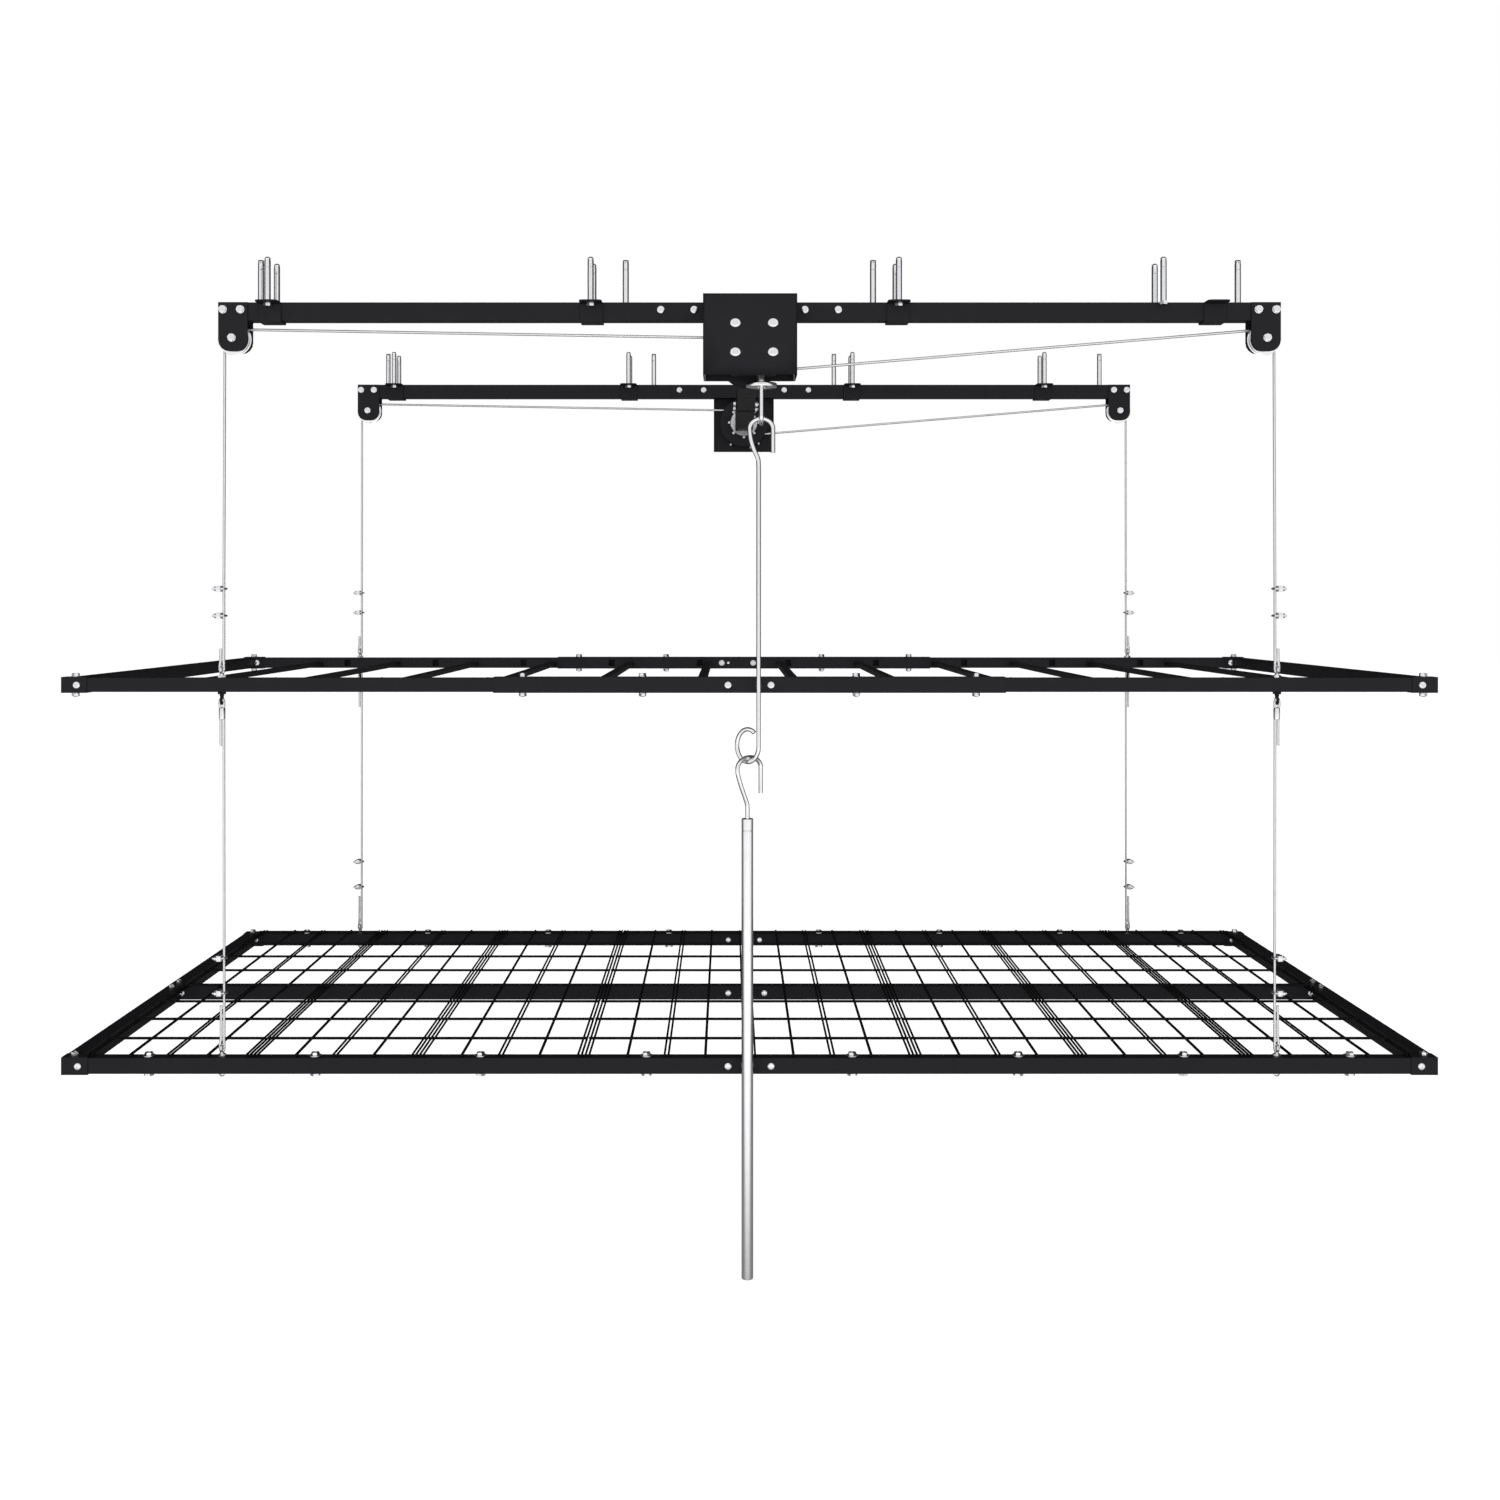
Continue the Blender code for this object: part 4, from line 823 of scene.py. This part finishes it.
def make_clip():
    """A wire rope clip: a bent bolt round the rope, its ridged saddle and two nuts.

    The rope runs along Z through the origin, and the nuts stand towards -X.
    """
    legs = [(-19.0, -7.6), (-4.0, -7.6)] + arc((-1.0, 0), 5.2, 7.6, -90, 90, 14) + [(-4.0, 7.6), (-19.0, 7.6)]
    bow = bent_rod("bow", [(u, v, 0) for u, v in legs], 2.0, 12)
    saddle = block("clip_saddle", (-11.5, -11.2, -5.2), (-3.2, 11.2, 5.2))
    open_mesh(saddle)
    pick(saddle, "FACE", lambda middle, face: face.normal.x < -0.9)
    bpy.ops.mesh.inset(thickness=1.2 * MM)
    bpy.ops.transform.resize(value=(1, 0.9, 0.75), center_override=(-0.0115, 0, 0))
    pick(saddle, "FACE", lambda middle, face: face.normal.x > 0.9)
    bpy.ops.mesh.subdivide(number_cuts=4)
    close_mesh()
    add_modifier(saddle, "BEVEL", width=0.8 * MM, segments=2, limit_method="ANGLE",
                 angle_limit=math.radians(40))
    groove = stepped("groove", [(2.9, -8), (2.9, 8)], 20)
    cut(saddle, groove)
    soften(saddle)
    nuts = []
    for y in (-7.6, 7.6):
        nut = hex_body("clip_nut", 7.0, 0, 3.8, 0.5, both=True)
        nut.data.transform(seat((-1, 0, 0), (-11.5, y, 0), 10 + y))
        nuts.append(soften(nut))
    return join(bow, saddle, *nuts)


def make_eye_bolt(shank_low, name):
    """A forged eye whose shank goes down through the beam."""
    deselect()
    bpy.ops.mesh.primitive_torus_add(major_radius=6.4 * MM, minor_radius=2.2 * MM, major_segments=28,
                                     minor_segments=12, rotation=(0, math.pi / 2, 0))
    ring = bpy.context.object
    ring.name = name
    take(ring)
    bpy.ops.object.transform_apply(location=True, rotation=True, scale=True)
    open_mesh(ring)
    bpy.ops.mesh.select_all(action="SELECT")
    bpy.ops.transform.translate(value=(0, 0, 13.5 * MM))
    close_mesh()
    shank = stepped("shank", [(4.4, 5.0), (4.0, 5.0), (3.0, 8.4)], 16)
    rod = stepped("rod", [(4.0, shank_low), (4.0, 5.2)], 16)
    return soften(join(ring, shank, rod))


def make_thimble():
    """A grooved teardrop that keeps the rope's loop open, point upwards, standing on the origin."""
    points = [(0.5, 0, 24.0), (1.9, 0, 18.0), (2.6, 0, 12.0), (2.5, 0, 7.0), (1.7, 0, 3.6), (0, 0, 2.2),
              (-1.7, 0, 3.6), (-2.5, 0, 7.0), (-2.6, 0, 12.0), (-1.9, 0, 18.0), (-0.5, 0, 24.0)]
    return bent_rod("thimble", rounded(points, 4), 1.0, 12)


def hanger_rope(side, y, base, up, tail, reach):
    """A rope that comes in from one side, round its eye and back up as a short tail.

    base is the height of the loop's foot and up is 1 where the rope leaves upwards, -1 downwards.
    reach is the far end of the main rope as a point. Both legs are given from the eye's middle,
    towards the middle of the rack for the main rope and away from it for the tail.
    """
    leg = ((1.5, 0.6), (3.5, 5), (3.6, 13))
    tail_leg = [(-1.9, None), (-2.0, 34), (-2.4, 22)] + [(-u, v) for u, v in reversed(leg)]
    main_leg = list(leg) + [(3.5, 22), (3.6, 36)]
    points = []
    for u, v in tail_leg + main_leg:
        points.append((side * HANGER_X - side * u, y, tail if v is None else base + up * v))
    main_x = points[-1][0]
    return rounded(points, 5) + [Vector((main_x, y, base + up * 60)), Vector(reach)]


def place_hangers(tools):
    """The ropes, eyes, thimbles, clips and ferrules that carry both tiers at each corner."""
    clip = make_clip()
    eye = make_eye_bolt(-30.0, "upper_eye")
    thimble = make_thimble()
    up, down = (0, 0, 1), (0, 0, -1)
    under = Matrix.Rotation(math.pi, 4, "X")
    for row, sign in ROWS:
        upper_y, lower_y = sign * UPPER_Y, sign * LOWER_Y
        for side_name, side in SIDES:
            tag = f"{row}_{side_name}"
            x, rope_x = side * HANGER_X, side * 934.4
            flip = Matrix.Diagonal((-side, 1, 1, 1))

            def at(u, v, w):
                return Matrix.Translation(Vector((u, v, w)) * MM) @ flip

            path = hanger_rope(side, upper_y, UPPER_TOP + 8.2, 1, UPPER_TOP + 52,
                               (rope_x, upper_y, UPPER_TOP + 175))
            show_rope(laid_rope(f"upper_loop_{tag}", path), "rack", [f"hanger_{tag}"])
            path = hanger_rope(side, upper_y, UPPER_BOTTOM - 12.0, -1, UPPER_BOTTOM - 96,
                               (rope_x, upper_y, UPPER_BOTTOM - 120))
            foot_path = hanger_rope(side, lower_y, LOWER_TOP + 8.2, 1, LOWER_TOP + 90,
                                    (rope_x, lower_y, LOWER_TOP + 130))
            show_rope(laid_rope(f"lower_rope_{tag}", path + foot_path[::-1]), "rack", ())
            fittings = (
                ("upper_eye", "plate", [(eye, at(x, upper_y, UPPER_TOP + 1))]),
                ("upper_eye_nut", "plate", [(tools["eye_nut"], seat(up, (x, upper_y, UPPER_TOP), 10))]),
                # The lower eye bolt and its nut are zinc like the other eyes; the black coat here is painted
                # shade, for the dark reflection they show under the beam.
                ("lower_eye", "coat", [(tools["eye_head"], at(x, upper_y, UPPER_BOTTOM - 1.5) @ under),
                                       (tools["eye_nut"], seat(down, (x, upper_y, UPPER_BOTTOM)))]),
                ("foot_eye", "plate", [(eye, at(x, lower_y, LOWER_TOP + 1)),
                                       (tools["eye_nut"], seat(up, (x, lower_y, LOWER_TOP)))]),
                ("foot_eye_nut", "plate", [(tools["foot_nut"], seat(down, (x, lower_y, LOWER_BOTTOM)))]),
                ("thimble_upper", "plate", [(thimble, at(x, upper_y, UPPER_TOP + 9.0))]),
                ("thimble_lower", "plate", [(thimble, at(x, upper_y, UPPER_BOTTOM - 12.8) @ under)]),
                ("thimble_foot", "plate", [(thimble, at(x, lower_y, LOWER_TOP + 9.0))]),
            )
            for name, finish, parts in fittings:
                fit(f"{name}_{tag}", finish, "rack", parts)
            clips = ((upper_y, UPPER_TOP + 158), (upper_y, UPPER_TOP + 110),
                     (lower_y, LOWER_TOP + 175), (lower_y, LOWER_TOP + 113))
            for number, (y, z) in enumerate(clips, start=1):
                fit(f"rope_clip_{tag}_{number}", "plate", "rack", [(clip, at(rope_x, y, z))])
            fit(f"ferrule_{tag}", "plate", "rack",
                [(tools["ferrule"], at(x - side * 0.4, upper_y, UPPER_BOTTOM - 39))])
    put_away([clip, eye, thimble])


# ---------------------------------------------------------------- tiers


def place_upper_bolts(tools):
    """The fasteners of the upper tier: sleeves, centre joint and corners."""
    sleeve = 14.1
    middle = UPPER_TOP - 12.5
    for row, sign in ROWS:
        y = sign * UPPER_Y
        for side_name, side in SIDES:
            for number, x in enumerate((190.0, 403.0), start=1):
                fit(f"sleeve_bolt_{row}_{side_name}_{number}", "plate", "rack",
                    [(tools["bolt"], seat((0, 0, 1), (side * x, y, middle + sleeve), 15 * number))])
                fit(f"sleeve_nut_{row}_{side_name}_{number}", "plate", "rack",
                    [(tools["sleeve_nut"], seat((0, 0, -1), (side * x, y, middle - sleeve), 15 * number))])
            head = tools["tier_button" if sign < 0 else "screw"]
            fit(f"upper_centre_bolt_{row}_{side_name}", "plate", "rack",
                [(head, seat((0, -1, 0), (side * 38, y - sleeve, middle)))])
            fit(f"upper_centre_nut_{row}_{side_name}", "plate", "rack",
                [(tools["small_nut"], seat((0, 1, 0), (side * 38, y + sleeve, middle)))])
            fit(f"upper_corner_bolt_{row}_{side_name}", "plate", "rack",
                [(tools["bolt"], seat((0, 0, 1), (side * 1198, y, middle + sleeve)))])
            fit(f"upper_corner_nut_{row}_{side_name}", "plate", "rack",
                [(tools["sleeve_nut"], seat((0, 0, -1), (side * 1198, y, middle - sleeve)))])
            fit(f"upper_face_bolt_{row}_{side_name}", "plate", "rack",
                [(tools["tier_button"], seat((0, sign, 0), (side * 1191, y + sign * sleeve, middle)))])
            inner = sign * (UPPER_Y - 14.1)
            fit(f"upper_face_nut_{row}_{side_name}", "plate", "rack",
                [(tools["small_nut"], seat((0, -sign, 0), (side * 1188, inner, middle)))])
    profile = [(3.4, 0), (6.2, 0), (7.2, 0.6), (7.2, 1.6), (6.4, 2.4), (4.2, 2.4), (3.4, 1.8)]
    ring = soften(stepped("ring", profile, 28))
    for side_name, x in (("left", -54.0), ("right", 22.5)):
        fit(f"upper_centre_ring_{side_name}", "plate", "rack",
            [(ring, seat((0, -1, 0), (x, UPPER_Y - sleeve, middle)))])
    put_away([ring])


def place_lower_bolts(tools):
    """The fasteners of the lower tier: beams, corners and the hold-downs of the deck."""
    middle = LOWER_TOP - 14
    sleeve = 15.6
    beams = (("front", -LOWER_Y), ("middle", 0.0), ("rear", LOWER_Y))
    for side_name, side in SIDES:
        for row, y in beams:
            fit(f"lower_centre_bolt_{row}_{side_name}", "plate", "rack",
                [(tools["tier_button"], seat((0, -1, 0), (side * 38, y - 14, middle)))])
            fit(f"lower_centre_nut_{row}_{side_name}", "plate", "rack",
                [(tools["small_nut"], seat((0, 1, 0), (side * 38, y + 14, middle)))])
        for row, sign in ROWS:
            y = sign * LOWER_Y
            fit(f"lower_face_bolt_{row}_{side_name}", "plate", "rack",
                [(tools["tier_button"], seat((0, sign, 0), (side * 1189, y + sign * sleeve, middle)))])
            fit(f"lower_corner_bolt_{row}_{side_name}", "plate", "rack",
                [(tools["bolt"], seat((0, 0, 1), (side * 1200, y, middle + sleeve), 12))])
            fit(f"lower_inner_nut_{row}_{side_name}", "plate", "rack",
                [(tools["small_nut"], seat((0, -sign, 0), (side * 1188, y - sign * 14, middle)))])
            for number, x in enumerate((183.0, 478.0, 772.0, 1068.0), start=1):
                fit(f"deck_bolt_{row}_{side_name}_{number}", "plate", "rack",
                    [(tools["deck_bolt"], seat((0, 0, 1), (side * x, y, LOWER_TOP + 1.0), 11 * number))])
                fit(f"deck_nut_{row}_{side_name}_{number}", "plate", "rack",
                    [(tools["deck_nut"], seat((0, 0, -1), (side * x, y, LOWER_BOTTOM), 23 * number))])
        fit(f"lower_middle_bolt_{side_name}", "plate", "rack",
            [(tools["tier_button"], seat((0, -1, 0), (side * 1188, -14, middle)))])
        for number, y in enumerate((-8.0, 8.0), start=1):
            fit(f"tee_bolt_{side_name}_{number}", "plate", "rack",
                [(tools["small_bolt"], seat((0, 0, 1), (side * 1205, y * 3.2, LOWER_TOP), 12))])


def place_deck():
    """Eight welded panels: cross wires lie on top of the long ones."""
    sizes = (("long_wire", 2.6, 604.0), ("cross_wire", 2.6, 145.6), ("edge_wire", 2.0, 604.0))
    wires = []
    for name, radius, half in sizes:
        profile = [(radius - 0.7, -half), (radius, 0.7 - half), (radius, half - 0.7), (radius - 0.7, half)]
        wires.append(soften(stepped(name, profile, 10)))
    long_wire, cross_wire, edge_wire = wires
    low = LOWER_TOP + 1.9 + 2.25
    for panel in range(8):
        middle = 294.3 * (panel - 3.5)
        parts = [(long_wire, seat((0, 1, 0), (middle + u, 0, low))) for u in (-69.0, 69.0)]
        for u in (-143.75, -137.15, -3.5, 3.5, 137.15, 143.75):
            parts.append((edge_wire, seat((0, 1, 0), (middle + u, 0, low))))
        for i in range(8):
            parts.append((cross_wire, seat((1, 0, 0), (middle, 152.0 * i - 499.5, low + 4.6))))
        stands_for = {0: ["mesh_deck_left"], 7: ["mesh_deck_right"]}.get(panel, [])
        fit(f"deck_panel_{panel + 1}", "mesh", "rack", parts, stands_for)
    put_away(wires)


# ---------------------------------------------------------------- studio


def place_camera():
    data = bpy.data.cameras.new("front_view")
    data.sensor_width = 36.0
    data.lens = 42.9
    data.shift_x, data.shift_y = 0.014, -0.0973
    data.clip_start, data.clip_end = 0.05, 200.0
    camera = bpy.data.objects.new("front_view", data)
    camera.location = (-0.0363, -3.7755, -0.5342)
    camera.rotation_euler = (math.radians(90), 0, 0)
    bpy.context.collection.objects.link(camera)
    bpy.context.scene.camera = camera


def place_floor():
    deselect()
    bpy.ops.mesh.primitive_plane_add(size=1)
    floor = bpy.context.object
    floor.name = "studio_floor"
    open_mesh(floor)
    bpy.ops.mesh.select_all(action="SELECT")
    bpy.ops.transform.resize(value=(60, 60, 1))
    bpy.ops.transform.translate(value=(0, 10, -2.05))
    close_mesh()
    paint = bpy.data.materials.new("floor_paint")
    paint.use_nodes = True
    shader = paint.node_tree.nodes["Principled BSDF"]
    shader.inputs["Base Color"].default_value = (0.55, 0.55, 0.55, 1)
    shader.inputs["Roughness"].default_value = 0.9
    shader.inputs["Specular IOR Level"].default_value = 0.1
    shader.inputs["Emission Color"].default_value = (1, 1, 1, 1)
    tree = paint.node_tree
    path = add_node(tree, "ShaderNodeLightPath").outputs
    place = add_node(tree, "ShaderNodeTexCoord").outputs["Object"]
    depth = add_node(tree, "ShaderNodeSeparateXYZ", [(0, place)]).outputs["Y"]
    front = add_node(tree, "ShaderNodeMapRange", [("Value", depth), ("From Min", -1.1), ("From Max", -2.4),
                                                  ("To Min", 0.04), ("To Max", 0.85)])
    mirrored = add_node(tree, "ShaderNodeMath", [(0, path["Is Glossy Ray"]), (1, front.outputs[0])],
                        operation="MULTIPLY")
    glow = add_node(tree, "ShaderNodeMath", [(0, path["Is Camera Ray"]), (1, 0.92), (2, mirrored.outputs[0])],
                    operation="MULTIPLY_ADD")
    tree.links.new(glow.outputs[0], shader.inputs["Emission Strength"])
    floor.data.materials.append(paint)


def place_light():
    world = bpy.data.worlds.new("studio")
    bpy.context.scene.world = world
    world.use_nodes = True
    tree = world.node_tree
    back = tree.nodes["Background"]
    direction = add_node(tree, "ShaderNodeTexCoord").outputs["Generated"]
    parts = add_node(tree, "ShaderNodeSeparateXYZ", [(0, direction)])
    half = add_node(tree, "ShaderNodeMapRange",
                    [("Value", parts.outputs["Y"]), ("From Min", -1.0), ("From Max", 1.0)])
    ramp = add_node(tree, "ShaderNodeValToRGB", [(0, half.outputs[0])])
    stops = ((0.0, 0.74), (0.06, 0.80), (0.16, 0.95), (0.27, 0.55), (0.40, 0.06), (1.0, 0.03))
    ramp.color_ramp.elements[0].position = stops[0][0]
    ramp.color_ramp.elements[0].color = (stops[0][1],) * 3 + (1,)
    ramp.color_ramp.elements[1].position = stops[-1][0]
    ramp.color_ramp.elements[1].color = (stops[-1][1],) * 3 + (1,)
    for position, value in stops[1:-1]:
        stop = ramp.color_ramp.elements.new(position)
        stop.color = (value, value, value, 1)
    seen = add_node(tree, "ShaderNodeLightPath").outputs["Is Camera Ray"]
    white = add_node(tree, "ShaderNodeBackground", [("Color", (1, 1, 1, 1)), ("Strength", 1.0)])
    mixed = add_node(tree, "ShaderNodeMixShader", [(0, seen)])
    tree.links.new(ramp.outputs[0], back.inputs["Color"])
    back.inputs["Strength"].default_value = 1.15
    tree.links.new(back.outputs[0], mixed.inputs[1])
    tree.links.new(white.outputs[0], mixed.inputs[2])
    tree.links.new(mixed.outputs[0], tree.nodes["World Output"].inputs[0])
    lamps = (("key", (-0.9, -6.2, -0.4), 2.4, 75.0), ("fill", (1.1, -6.2, -1.4), 2.4, 85.0))
    for name, place, size, power in lamps:
        data = bpy.data.lights.new(name, "AREA")
        data.shape = "RECTANGLE"
        data.size = size
        data.size_y = size * 0.8
        data.energy = power
        lamp = bpy.data.objects.new(name, data)
        lamp.location = place
        lamp.visible_glossy = False
        lamp.rotation_euler = (Vector((0, 0, -0.8)) - Vector(place)).to_track_quat("-Z", "Y").to_euler()
        bpy.context.collection.objects.link(lamp)
    bpy.context.scene.view_settings.view_transform = "Standard"


def build():
    place_camera()
    place_floor()
    place_light()
    finish_frame()
    tools = make_patterns()
    place_rails(tools)
    place_pulleys(tools)
    place_winch(tools)
    place_input()
    place_crank()
    place_runs()
    place_hangers(tools)
    place_upper_bolts(tools)
    place_lower_bolts(tools)
    place_deck()
    put_away(tools.values())


build()
